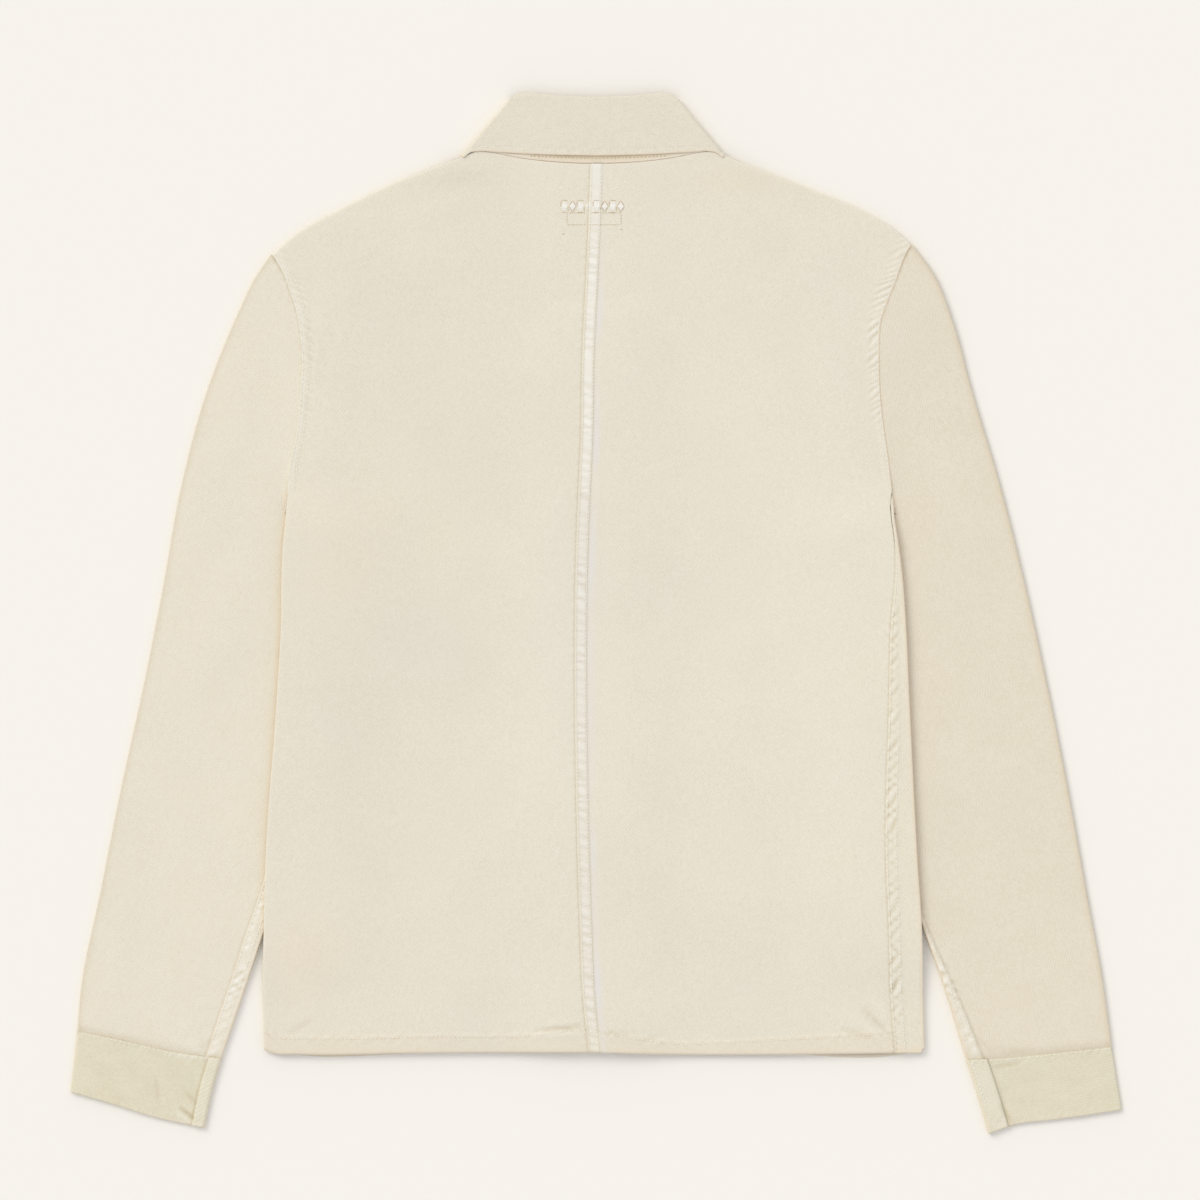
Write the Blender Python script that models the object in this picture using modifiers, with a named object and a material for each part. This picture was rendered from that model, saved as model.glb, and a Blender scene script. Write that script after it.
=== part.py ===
"""A cotton twill field jacket, laid flat with its back up.

Lengths are in millimetres until a mesh is made: x to the right, y towards the collar, z up from
the surface that the jacket lies on. The origin is under the middle of the whole garment.
"""

import math
from collections import namedtuple

import bmesh
import bpy
from mathutils import Vector

MM = 0.001

# Cloth
WALL = 1.2                 # one layer of twill
BAND_RISE = 0.9            # further layers in a felled seam, a hem or a placket
GAP = 0.3                  # between pieces that are sewn together
EDGE_PROBE = 0.02          # share of a layout over which its slope is read
ACROSS_PROBE = 0.04        # the same across a panel, and up it
UP_PROBE = 0.03
ARMHOLE_GAP = 0.2          # from the armhole seam to each piece, across the jacket
TIP_GAP = 0.35             # further at the shoulder point, where both are folded
TIP_START = 0.9            # share of the armhole at which that begins, and over which it comes in
TIP_FADE = 0.08
FOLD_RADIUS = 2.6          # outside of the folds at the shoulders and sides
BODY_DEPTH = 2 * FOLD_RADIUS
SLEEVE_DEPTH = 3.8         # below the armhole, where front and back lie close
THINNED_BY = 0.2           # share of the sleeve by which it is that thin
SEAM_START = 0.72          # share at which its felled seam comes round to the upper side
SEAM_FADE = 0.1
WIDER_FROM = 0.45          # share from which the seam's band widens
WIDER_FADE = 0.25
PIT_SHARE = 0.2            # how the rows of a sleeve fan out round the underarm
PIT_POWER = 2.6
ARMHOLE_POWER = 1.5        # how soon they straighten below the armhole

# Widths of the sewn bands
HEM_BAND = 15.0
SEAM_BAND = 10.0
SLEEVE_BAND = {"left": 13.0, "right": 10.5}
ARMHOLE_BAND = 7.0
BAND_STEP = 0.8            # how wide the step down from a band is

# Front overlap and its buttons
CENTRE_X = -1.4
OVERLAP = 17.0             # each front passes the centre by this much
LAP_CLEAR = 6.0            # the left hem is one layer under it and this far beyond
OVERLAP_RISE = 1.8         # the right front lies above the left one
OVERLAP_LEVEL = 9.0        # how far past the overlap it stays above
OVERLAP_FADE = 11.0
CENTRE_ROOM = 0.9          # the back's further rise over the overlap
CENTRE_LEVEL = 22.0
CENTRE_FADE = 45.0
BUTTON_COUNT = 6
BUTTON_TOP_Y = 215.0
BUTTON_PITCH = 93.0
BUTTON_SECTION = [         # radius and height, from the middle of the top round to the bottom
    (0.0, 2.6), (8.0, 2.6), (8.5, 2.1), (8.5, 0.6), (8.0, 0.0), (6.6, 0.0), (6.0, 0.5),
    (0.0, 0.5),
]
BUTTON_SIDES = 16
BUTTON_LIFT = 2.9          # the fronts lie on the buttons
BUTTON_LEVEL = 14.0        # half the width at that height
BUTTON_FADE = 42.0
BUTTON_TOP_FADE = 14.0
BUTTON_END_Y = 240.0

# Where the jacket is lifted by what lies under it
TUCK_LIFT = 5.05           # over the inner edge of each sleeve
TUCK_FLAT = 24.0           # how far in from the side the lift is level
TUCK_FADE = 46.0
TUCK_TOP_Y = 94.0          # it starts under the armholes
TUCK_TOP_FADE = 36.0
TUCK_END_Y = -302.0        # and ends above the hem
TUCK_END_FADE = 54.0
LEAF_LIFT = 1.55           # over the leaves of the collar
LEAF_CENTRE = (-0.5, 335.0)
LEAF_REACH = 112.0
LEAF_FADE = 47.0

# Collar layers, from the middle of the neck outwards to the middle of each layer
NECK_Z = 4.15
STAND_OUT = 2.0
FALL_OUT = 3.55
COLLAR_X = -0.5
CENTRE_BACK_TOP = (-5.0, 342.0)
STAND_TRIM = 0.6           # the stand ends short of the roll and of the neck seam
LEAF_START = 0.12          # share of the neck before the points of the leaves

# Cuffs: height of the middle of the cloth in each layer
CUFF_LOW = 0.6
CUFF_HIGH = 3.0
CUFF_LAP = 4.5
CUFF_UNDER_END = 3.6       # how far from the inner edge the end under the lap lies
CUFF_LAP_WIDTH = {"left": 9.5, "right": 16.0}
CUFF_SEAM_GAP = 0.6

Body = namedtuple("Body", "y left centre_back side_seam right")
BODY = [                   # from the hem to the bottom of the armholes
    Body(-330.5, -252.3, -6.6, 226.3, 249.2),
    Body(-287.0, -253.3, -11.0, 222.8, 248.2),
    Body(-242.0, -252.5, -12.9, 221.6, 247.3),
    Body(-187.0, -251.2, -14.7, 219.3, 243.9),
    Body(-65.0, -242.7, -16.9, 221.7, 237.7),
    Body(-4.0, -239.3, -16.9, 222.9, 234.8),
    Body(30.0, -239.0, -16.4, 223.4, 232.2),
    Body(56.0, -237.7, -15.7, 223.6, 228.9),
    Body(72.0, -236.1, -15.1, 221.2, 226.4),
    Body(84.0, -235.3, -14.6, 220.6, 225.5),
    Body(94.5, -234.7, -14.1, 224.7, 224.7),
]
CENTRE_BACK_UPPER = [      # the centre-back seam above them
    (-12.4, 132.0), (-11.2, 200.0), (-8.8, 250.0), (-7.0, 285.0),
]

Armhole = namedtuple("Armhole", "left_x left_y right_x right_y")
ARMHOLE = [                # from the underarm to the shoulder point
    Armhole(-234.7, 94.5, 224.7, 94.5),
    Armhole(-233.5, 111.5, 222.5, 114.7),
    Armhole(-229.2, 130.8, 217.7, 149.4),
    Armhole(-225.5, 165.4, 215.6, 173.9),
    Armhole(-223.8, 189.3, 215.1, 197.4),
    Armhole(-225.5, 213.5, 216.7, 224.1),
    Armhole(-228.7, 231.5, 219.9, 233.7),
    Armhole(-233.5, 246.5, 228.4, 255.0),
    Armhole(-238.9, 260.3, 235.9, 273.7),
    Armhole(-246.8, 273.2, 239.9, 280.4),
]

Shoulder = namedtuple("Shoulder", "left_x left_y right_x right_y")
SHOULDER = [               # from the neck to the shoulder point
    Shoulder(-90.5, 352.0, 89.5, 352.0),
    Shoulder(-118.8, 341.4, 115.3, 341.4),
    Shoulder(-165.1, 322.4, 164.7, 322.4),
    Shoulder(-196.2, 306.8, 202.8, 306.8),
    Shoulder(-224.9, 291.3, 229.4, 290.7),
    Shoulder(-246.8, 273.2, 239.9, 280.4),
]

Sleeve = namedtuple("Sleeve", "left_x left_y right_x right_y")
SLEEVE_OUTER = [           # from the shoulder point to the cuff
    Sleeve(-246.8, 273.2, 239.9, 280.4),
    Sleeve(-260.1, 252.9, 256.1, 258.2),
    Sleeve(-270.8, 230.5, 270.0, 224.1),
    Sleeve(-295.1, 170.4, 284.9, 170.7),
    Sleeve(-315.6, 94.4, 307.6, 94.4),
    Sleeve(-329.3, 18.4, 326.6, 18.4),
    Sleeve(-344.5, -57.6, 343.3, -57.6),
    Sleeve(-361.2, -133.6, 358.5, -133.6),
    Sleeve(-376.4, -209.7, 372.2, -209.7),
    Sleeve(-391.6, -285.7, 385.9, -285.7),
    Sleeve(-394.2, -315.5, 391.5, -327.8),
]
SLEEVE_INNER = [           # from the underarm to the cuff, tucked under the body most of the way
    Sleeve(-234.7, 94.5, 224.7, 94.5),
    Sleeve(-238.7, 90.5, 228.7, 90.5),
    Sleeve(-240.8, 82.0, 231.2, 82.0),
    Sleeve(-240.8, 68.0, 231.8, 68.0),
    Sleeve(-239.6, 54.0, 230.8, 54.0),
    Sleeve(-233.0, 10.8, 226.5, 10.8),
    Sleeve(-224.4, -65.2, 218.0, -65.2),
    Sleeve(-227.5, -141.2, 222.5, -141.2),
    Sleeve(-240.8, -206.6, 236.9, -206.6),
    Sleeve(-252.9, -243.1, 250.0, -244.0),
    Sleeve(-265.7, -281.5, 262.0, -277.5),
    Sleeve(-284.5, -336.6, 280.6, -337.5),
]

Cuff = namedtuple("Cuff", "left_x left_y right_x right_y")
CUFF_SEAM = [              # from the outer edge to the inner one
    Cuff(-394.2, -315.5, 391.5, -327.8),
    Cuff(-358.7, -322.8, 356.5, -331.4),
    Cuff(-316.8, -332.2, 306.2, -336.4),
    Cuff(-284.5, -336.6, 280.6, -337.5),
]
CUFF_EDGE = [
    Cuff(-399.5, -363.0, 399.2, -376.5),
    Cuff(-366.9, -372.3, 349.7, -383.9),
    Cuff(-337.8, -381.6, 317.1, -388.1),
    Cuff(-297.7, -390.3, 297.8, -394.8),
]
CUFF_OUTER = [
    Cuff(-394.2, -315.5, 391.5, -327.8),
    Cuff(-399.5, -363.0, 399.2, -376.5),
]
CUFF_INNER = [
    Cuff(-284.5, -336.6, 280.6, -337.5),
    Cuff(-290.8, -358.3, 286.9, -357.3),
    Cuff(-297.7, -390.3, 297.8, -394.8),
]

Hem = namedtuple("Hem", "x y")
HEM_LEFT = [               # from the centre back to the side
    Hem(-6.6, -332.8), Hem(-134.0, -333.4), Hem(-227.5, -334.4), Hem(-245.0, -333.6),
    Hem(-252.3, -330.5),
]
HEM_RIGHT = [
    Hem(-6.6, -332.8), Hem(63.6, -334.5), Hem(185.2, -334.0), Hem(226.3, -333.4),
]
HEM_FRONT_Y = -333.6       # the front's hem between its sides
HEM_MIDDLE_X = 130.0
HEM_TURN_X = 236.0
HEM_RIGHT_EDGE = Hem(249.2, -330.5)

Collar = namedtuple("Collar", "across y")
NECK_BACK = [              # half of the neck seam, from beside the centre back
    Collar(36.0, 344.8), Collar(64.0, 348.5), Collar(90.0, 352.0),
]
NECK_FRONT = [             # from past the centre front to the shoulder
    Collar(-17.0, 276.5), Collar(1.0, 277.0), Collar(19.0, 280.5), Collar(46.0, 295.8),
    Collar(72.0, 322.4), Collar(90.0, 352.0),
]
ROLL_BACK = [              # where the fall rolls over the stand
    Collar(0.0, 391.4), Collar(26.0, 392.6), Collar(50.5, 394.4), Collar(61.2, 389.6),
]
ROLL_FRONT = [
    Collar(-17.0, 299.0), Collar(1.0, 302.0), Collar(20.0, 308.0), Collar(44.0, 332.0),
    Collar(56.0, 361.0), Collar(61.2, 389.6),
]
FALL_BACK = [              # free edge of the fall
    Collar(0.0, 347.9), Collar(37.0, 348.8), Collar(75.0, 350.8), Collar(92.5, 349.8),
]
FALL_FRONT = [             # from the point of the leaf to the shoulder
    Collar(42.0, 239.0), Collar(62.0, 264.0), Collar(79.0, 298.0), Collar(88.5, 328.0),
    Collar(92.5, 349.8),
]

Fold = namedtuple("Fold", "x1 y1 x2 y2 half_width height")
FOLDS = [                  # long soft folds across the back
    Fold(-190.0, 240.0, -205.0, 120.0, 26.0, 0.7),
    Fold(175.0, 235.0, 190.0, 110.0, 26.0, 0.7),
    Fold(-60.0, -318.0, 60.0, -300.0, 30.0, 0.6),
    Fold(150.0, -240.0, 205.0, -320.0, 28.0, 0.8),
    Fold(-215.0, -60.0, -180.0, -250.0, 34.0, 0.6),
]

# Shares of a seam at which both pieces that meet there have a point
NECK_SHARES = [0.0, 0.36, 0.7, 1.0]
FRONT_NECK_SHARES = [0.0, 0.15, 0.34, 0.45, 0.69, 1.0]
SHOULDER_SHARES = [0.04, 0.1, 0.25, 0.45, 0.62, 0.74, 0.86]
SIDE_SHARES = [0.08, 0.13, 0.2, 0.4, 0.6, 0.8, 0.905, 0.94, 0.96, 0.98, 1.0]
ARMHOLE_SHARES = [0.15, 0.32, 0.5, 0.68, 0.84, 0.93]
CUFF_SHARES = [0.16, 0.32, 0.5, 0.68, 0.85]
SLEEVE_SHARES = [0.0, 0.03, 0.08, 0.15, 0.22, 0.3, 0.4, 0.5, 0.6, 0.7, 0.79, 0.87, 0.94, 1.0]
NECK_PART = 0.375          # share of a back panel's top that is neck
FRONT_NECK_PART = 0.41
SIDE_PART = 0.69           # share of a panel's side that is below the armhole

# A quarter fold: degrees round it from the rim, and the inset of the same point where it is flat
Turn = namedtuple("Turn", "degrees flat_inset")
QUARTER = [Turn(0, 0.0), Turn(0, 0.5), Turn(35, 1.1), Turn(65, 1.8), Turn(90, FOLD_RADIUS)]
RIM_RISE = 0.4             # height of the upright strip at the rim of a quarter fold
RIM_PARTING = 0.6

COLOURS = {                # base colour and roughness of each piece
    "back": ((0.76, 0.72, 0.60), 0.9),
    "front": ((0.74, 0.69, 0.57), 0.9),
    "sleeve": ((0.77, 0.70, 0.56), 0.9),
    "cuff": ((0.73, 0.67, 0.50), 0.9),
    "stand": ((0.73, 0.66, 0.51), 0.9),
    "fall": ((0.77, 0.71, 0.57), 0.9),
    "button": ((0.55, 0.43, 0.27), 0.45),
}


# ---- lines and layouts

def smooth(t):
    """0 to 1 with level ends."""
    t = min(max(t, 0.0), 1.0)
    return t * t * (3 - 2 * t)


def blend(a, b, t):
    return a + (b - a) * t


class Line:
    """A smooth line through points set by hand, read by the share of its length."""

    STEPS = 12

    def __init__(self, points):
        points = [Vector((p[0], p[1])) for p in points]
        chords = [(b - a).length for a, b in zip(points, points[1:])]
        slopes = [(b - a) / c for a, b, c in zip(points, points[1:], chords)]
        tangents = [slopes[0]]
        for i in range(1, len(slopes)):
            before, after = chords[i - 1], chords[i]
            tangents.append((slopes[i] * before + slopes[i - 1] * after) / (before + after))
        tangents.append(slopes[-1])
        self.points = [points[0]]
        for i, chord in enumerate(chords):
            for step in range(1, self.STEPS + 1):
                t = step / self.STEPS
                self.points.append(
                    points[i] * (2 * t**3 - 3 * t**2 + 1)
                    + points[i + 1] * (3 * t**2 - 2 * t**3)
                    + tangents[i] * chord * (t**3 - 2 * t**2 + t)
                    + tangents[i + 1] * chord * (t**3 - t**2))
        self.lengths = [0.0]
        for a, b in zip(self.points, self.points[1:]):
            self.lengths.append(self.lengths[-1] + (b - a).length)

    def __call__(self, share):
        wanted = min(max(share, 0.0), 1.0) * self.lengths[-1]
        i = 1
        while i < len(self.lengths) - 1 and self.lengths[i] < wanted:
            i += 1
        run = self.lengths[i] - self.lengths[i - 1]
        return self.points[i - 1].lerp(self.points[i], (wanted - self.lengths[i - 1]) / run)


def joined(first, second, part):
    """Two lines read as one, the first up to the share part."""
    def at(share):
        if share <= part:
            return first(share / part)
        return second((share - part) / (1 - part))
    return at


def shifted(line, dx):
    return lambda share: line(share) + Vector((dx, 0))


def armhole_side(side, toward):
    """The armhole seam moved a little towards the body, -1, or the sleeve, 1."""
    outward = toward * (-1 if side == "left" else 1)
    line = LINES[side]["armhole"]
    return lambda share: line(share) + Vector(
        (outward * (ARMHOLE_GAP + TIP_GAP * smooth((share - TIP_START) / TIP_FADE)), 0))


def layout(bottom, top, near, far):
    """A panel spanned between four lines; near and far run from bottom to top."""
    def at(u, v):
        across = bottom(u) * (1 - v) + top(u) * v
        along = near(v) * (1 - u) + far(v) * u
        corners = (bottom(0) * (1 - u) + bottom(1) * u) * (1 - v)
        corners += (top(0) * (1 - u) + top(1) * u) * v
        return across + along - corners
    return at


def u_at_inset(place, inset, v, from_far=True):
    """The share across a layout that lies an inset in from its side."""
    probe = ACROSS_PROBE
    if from_far:
        return 1 - inset * probe / (place(1, v) - place(1 - probe, v)).length
    return inset * probe / (place(probe, v) - place(0, v)).length


def v_at_inset(place, u, inset, from_top=True):
    probe = UP_PROBE
    if from_top:
        return 1 - inset * probe / (place(u, 1) - place(u, 1 - probe)).length
    return inset * probe / (place(u, probe) - place(u, 0)).length


def around_neck(rows, sign):
    return [(COLLAR_X + sign * row.across, row.y) for row in rows]


def side_lines(side):
    """The lines of one half of the body, by name; side is left or right."""
    pick = (lambda row: (row.left_x, row.left_y)) if side == "left" else (
        lambda row: (row.right_x, row.right_y))
    edge = [(getattr(row, side), row.y) for row in BODY]
    sign = -1 if side == "left" else 1
    return {
        "armhole": Line([pick(row) for row in ARMHOLE]),
        "shoulder": Line([pick(row) for row in SHOULDER]),
        "sleeve_outer": Line([pick(row) for row in SLEEVE_OUTER]),
        "sleeve_inner": Line([pick(row) for row in SLEEVE_INNER]),
        "cuff_seam": Line([pick(row) for row in CUFF_SEAM]),
        "cuff_edge": Line([pick(row) for row in CUFF_EDGE]),
        "cuff_outer": Line([pick(row) for row in CUFF_OUTER]),
        "cuff_inner": Line([pick(row) for row in CUFF_INNER]),
        "edge": Line(edge),
        "side_seam": Line([(BODY[0].side_seam, HEM_RIGHT[-1].y)]
                          + [(row.side_seam, row.y) for row in BODY[1:]]),
        "centre_back": Line([(BODY[0].centre_back, HEM_LEFT[0].y)]
                            + [(row.centre_back, row.y) for row in BODY[1:]]
                            + CENTRE_BACK_UPPER + [CENTRE_BACK_TOP]),
        "neck_back": Line([CENTRE_BACK_TOP] + around_neck(NECK_BACK, sign)),
        "neck_front": Line(around_neck(NECK_FRONT, sign)),
    }


LINES = {side: side_lines(side) for side in ("left", "right")}


# ---- heights

def edge_x(side, y):
    """The x of the body's edge at a height y, read straight from the rows."""
    rows = BODY
    if y <= rows[0].y:
        return getattr(rows[0], side)
    for low, high in zip(rows, rows[1:]):
        if y <= high.y:
            return blend(getattr(low, side), getattr(high, side), (y - low.y) / (high.y - low.y))
    return getattr(rows[-1], side)


def tuck_lift(x, y):
    """Lift of the body over the inner edges of the sleeves."""
    along = smooth((TUCK_TOP_Y - y) / TUCK_TOP_FADE)
    along *= smooth((y - TUCK_END_Y) / TUCK_END_FADE)
    inset = min(x - edge_x("left", y), edge_x("right", y) - x)
    return TUCK_LIFT * along * smooth(1 - (inset - TUCK_FLAT) / TUCK_FADE)


def leaf_lift(x, y):
    """Lift over the leaves of the collar."""
    past = math.hypot(x - LEAF_CENTRE[0], y - LEAF_CENTRE[1]) - LEAF_REACH
    return LEAF_LIFT * smooth(1 - past / LEAF_FADE)


def button_lift(x, y):
    """Lift over the row of buttons."""
    across = smooth(1 - (abs(x - CENTRE_X) - BUTTON_LEVEL) / BUTTON_FADE)
    return BUTTON_LIFT * across * smooth((BUTTON_END_Y - y) / BUTTON_TOP_FADE)


def underside(x, y):
    """Height of the outside of the fronts."""
    return max(tuck_lift(x, y), leaf_lift(x, y), button_lift(x, y))


def overlap_rise(x):
    """The right front's rise to lie above the left one."""
    past = x - CENTRE_X - OVERLAP - OVERLAP_LEVEL
    return OVERLAP_RISE * smooth(1 - past / OVERLAP_FADE)


def back_height(x, y):
    """Height of the inside of the back."""
    room = CENTRE_ROOM * smooth(1 - (abs(x - CENTRE_X) - CENTRE_LEVEL) / CENTRE_FADE)
    return underside(x, y) + BODY_DEPTH - WALL + room


def fold_height(x, y):
    """The soft folds across the back, as one height."""
    total = 0.0
    for fold in FOLDS:
        start, run = Vector((fold.x1, fold.y1)), Vector((fold.x2 - fold.x1, fold.y2 - fold.y1))
        off = Vector((x, y)) - start
        t = min(max(off.dot(run) / run.length_squared, 0.0), 1.0)
        total += fold.height * smooth(1 - (off - run * t).length / fold.half_width)
    return total


def quarter_fold(k, weight, radius, parted=0.0):
    """Inset from the edge and height above the fold's middle of the point k of a quarter fold.

    radius is that of the surface that is being laid out, weight 0 where there is no fold, and
    parted 1 where the two rims stand further apart, as the fold begins."""
    turn = QUARTER[k]
    angle = math.radians(turn.degrees)
    inset = FOLD_RADIUS - radius * math.cos(angle)
    height = radius * math.sin(angle)
    if k < 2:
        height = GAP / 2 + k * RIM_RISE
    if k < 3:
        height += parted * RIM_PARTING
    return blend(turn.flat_inset, inset, weight), blend(radius, height, weight)


# ---- solids

def grid_solid(name, rows, wall, outward, colour, thick=None, rise=0.0, closed=False):
    """A wall of cloth from rows of points.

    The wall grows to one side of the surface, outward 1 along its normals and -1 against them, or
    0 to both. thick holds a weight for each point that has the band's further layers."""
    mesh = bpy.data.meshes.new(name)
    piece = bpy.data.objects.new(name, mesh)
    collection.objects.link(piece)
    cloth = bmesh.new()
    verts = [[cloth.verts.new(point * MM) for point in row] for row in rows]
    columns = len(rows[0])
    for lower, upper in zip(verts, verts[1:]):
        for i in range(columns if closed else columns - 1):
            j = (i + 1) % columns
            cloth.faces.new((lower[i], lower[j], upper[j], upper[i]))
    cloth.to_mesh(mesh)
    cloth.free()
    solid = piece.modifiers.new("Cloth", "SOLIDIFY")
    solid.offset = outward
    solid.thickness = wall * MM
    if thick:
        group = piece.vertex_groups.new(name="Bands")
        for index, weight in enumerate(weight for row in thick for weight in row):
            group.add([index], weight, "REPLACE")
        solid.thickness = (wall + rise) * MM
        solid.vertex_group = group.name
        solid.thickness_vertex_group = wall / (wall + rise)
    mesh.materials.append(twill(name, *COLOURS[colour]))
    mesh.shade_smooth()
    mesh.set_sharp_from_angle(angle=math.radians(40))
    return piece


def twill(name, colour, roughness):
    """A plain material in the colour of its piece."""
    material = bpy.data.materials.new(name)
    material.use_nodes = True
    shader = material.node_tree.nodes["Principled BSDF"]
    shader.inputs["Base Color"].default_value = (*colour, 1.0)
    shader.inputs["Roughness"].default_value = roughness
    shader.inputs["Metallic"].default_value = 0.0
    return material


def panel_rows():
    """Shares up a body panel, hem first; the last few are points of the shoulder fold."""
    rows = [("inset", 0.0), ("inset", HEM_BAND), ("inset", HEM_BAND + BAND_STEP)]
    rows += [("share", SIDE_PART * share) for share in SIDE_SHARES]
    rows += [("share", SIDE_PART + (1 - SIDE_PART) * share) for share in ARMHOLE_SHARES]
    rows += [("turn", k) for k in reversed(range(len(QUARTER)))]
    return rows


def row_share(place, row, u, weight, radius):
    kind, value = row
    if kind == "share":
        return value
    if kind == "inset":
        return v_at_inset(place, u, value, from_top=False)
    return v_at_inset(place, u, quarter_fold(value, weight, radius)[0])


FoldEnd = namedtuple("FoldEnd", "fade parted parted_fade")
SIDE_FOLD_END = FoldEnd(0.06, 0.13, 0.05)
SHOULDER_FOLD_END = FoldEnd(0.06, 0.14, 0.08)


def side_fold(v):
    """How far a panel's side is folded, and parted, at a share up it: not along the armhole."""
    below, end = 1 - v / SIDE_PART, SIDE_FOLD_END
    return smooth(below / end.fade), smooth((end.parted - below) / end.parted_fade)


def shoulder_fold(u, neck_part):
    """The same along the top: not along the neck."""
    beyond, end = u - neck_part, SHOULDER_FOLD_END
    return smooth(beyond / end.fade), smooth((end.parted - beyond) / end.parted_fade)


def back_panel(side):
    """Half of the back: its inner surface is laid out and the wall grows outwards."""
    lines, sign = LINES[side], -1 if side == "left" else 1
    hem = Line(HEM_LEFT if side == "left" else HEM_RIGHT)
    radius = FOLD_RADIUS - WALL
    outer = lines["edge"] if side == "left" else shifted(lines["side_seam"], -GAP / 2)
    armhole = armhole_side(side, -1)
    place = layout(hem, joined(lines["neck_back"], lines["shoulder"], NECK_PART),
                   shifted(lines["centre_back"], sign * GAP / 2),
                   joined(outer, armhole, SIDE_PART))
    columns = [("near", 0.0)]
    if side == "right":
        columns += [("near", SEAM_BAND), ("near", SEAM_BAND + BAND_STEP)]
    columns += [("share", NECK_PART * share) for share in NECK_SHARES[1:]]
    columns += [("share", NECK_PART + (1 - NECK_PART) * share) for share in SHOULDER_SHARES]
    columns += [("far", ARMHOLE_BAND + BAND_STEP), ("far", ARMHOLE_BAND)]
    columns += [("turn", k) for k in reversed(range(len(QUARTER)))]

    points, thick = [], []
    for row in panel_rows():
        row_points, row_thick = [], []
        guess = row_share(place, row, 0.5, 1.0, radius)
        folded, parted = side_fold(guess) if side == "left" else (0.0, 0.0)
        for kind, value in columns:
            drop = 0.0
            if kind == "near":
                u = u_at_inset(place, value, guess, from_far=False)
            elif kind == "share":
                u = value
            elif kind == "far":
                u = u_at_inset(place, value, guess)
            else:
                inset, height = quarter_fold(value, folded, radius, parted)
                u = u_at_inset(place, inset, guess)
                drop = radius - height
            top_folded, top_parted = shoulder_fold(u, NECK_PART)
            v = row_share(place, row, u, top_folded, radius)
            if row[0] == "turn":
                drop += radius - quarter_fold(row[1], top_folded, radius, top_parted)[1]
            at = place(u, v)
            z = back_height(at.x, at.y) - drop
            z += fold_height(at.x, at.y) * (0 if kind == "turn" or row[0] == "turn" else 1)
            row_points.append(Vector((at.x, at.y, z)))
            in_hem = row[0] == "inset" and row[1] <= HEM_BAND
            in_armhole = v > SIDE_PART and (kind, value) in columns[-6:]
            in_centre = side == "right" and kind == "near" and value <= SEAM_BAND
            band = in_hem and kind != "turn" or in_centre or in_armhole
            row_thick.append(1.0 if band and row[0] != "turn" else 0.0)
        points.append(row_points)
        thick.append(row_thick)
    if side == "left":
        points = [list(reversed(row)) for row in points]
        thick = [list(reversed(row)) for row in thick]
    return grid_solid("back_" + side, points, WALL, 1, "back", thick, BAND_RISE)


def front_panel(side):
    """Half of the front: its outer surface is laid out and the wall grows inwards.

    The left one ends in the left fold, and the right one goes round the right edge to the side
    seam on the back."""
    lines, sign = LINES[side], -1 if side == "left" else 1
    centre_x = CENTRE_X - sign * OVERLAP
    edge_end = HEM_LEFT[-1] if side == "left" else HEM_RIGHT_EDGE
    hem_middle = Hem(sign * HEM_MIDDLE_X, HEM_FRONT_Y)
    hem_turn = Hem(sign * HEM_TURN_X, HEM_FRONT_Y)
    hem = Line([Hem(centre_x, HEM_LEFT[0].y), hem_middle, hem_turn, edge_end])
    neck_end = lines["neck_front"](0)
    centre = Line([(centre_x, HEM_LEFT[0].y), (neck_end.x, neck_end.y)])
    armhole = armhole_side(side, -1)
    place = layout(hem, joined(lines["neck_front"], lines["shoulder"], FRONT_NECK_PART),
                   centre, joined(lines["edge"], armhole, SIDE_PART))
    columns = [("share", FRONT_NECK_PART * share) for share in FRONT_NECK_SHARES]
    columns += [("share", FRONT_NECK_PART + (1 - FRONT_NECK_PART) * share)
                for share in SHOULDER_SHARES]
    columns += ([("turn", k) for k in reversed(range(len(QUARTER)))] if side == "left"
                else [("wrap", k) for k in range(len(WRAP) + 1)])

    points, thick = [], []
    for row in panel_rows():
        row_points, row_thick = [], []
        guess = row_share(place, row, 0.5, 1.0, FOLD_RADIUS)
        folded, parted = side_fold(guess)
        for kind, value in columns:
            climb, inset = 0.0, 0.0
            if kind == "share":
                u = value
            elif kind == "turn":
                inset, height = quarter_fold(value, folded, FOLD_RADIUS, parted)
                u = u_at_inset(place, inset, guess)
                climb = FOLD_RADIUS - height
            else:
                u = u_at_inset(place, max(WRAP_FLAT * (1 - value / len(WRAP)), 0), guess)
            top_folded, top_parted = shoulder_fold(u, FRONT_NECK_PART)
            v = row_share(place, row, u, top_folded, FOLD_RADIUS)
            if row[0] == "turn":
                climb += FOLD_RADIUS - quarter_fold(row[1], top_folded, FOLD_RADIUS,
                                                    top_parted)[1]
            at = place(u, v)
            z = underside(at.x, at.y) + climb
            if side == "right" and kind == "share":
                z += overlap_rise(at.x)
            point = Vector((at.x, at.y, z))
            band = 0.0
            if kind == "wrap" and folded > 0:
                point, band = wrapped_edge(place, v, folded)[value]
            row_points.append(point)
            in_hem = row[0] == "inset" and row[1] <= HEM_BAND
            lapped = side == "left" and at.x > CENTRE_X - OVERLAP - LAP_CLEAR
            hemmed = in_hem and kind == "share" and not lapped
            row_thick.append(max(band, 1.0 if hemmed else 0.0))
        points.append(row_points)
        thick.append(row_thick)
    if side == "right":
        points = [list(reversed(row)) for row in points]
        thick = [list(reversed(row)) for row in thick]
    return grid_solid("front_" + side, points, WALL, -1, "front", thick, BAND_RISE)


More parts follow.
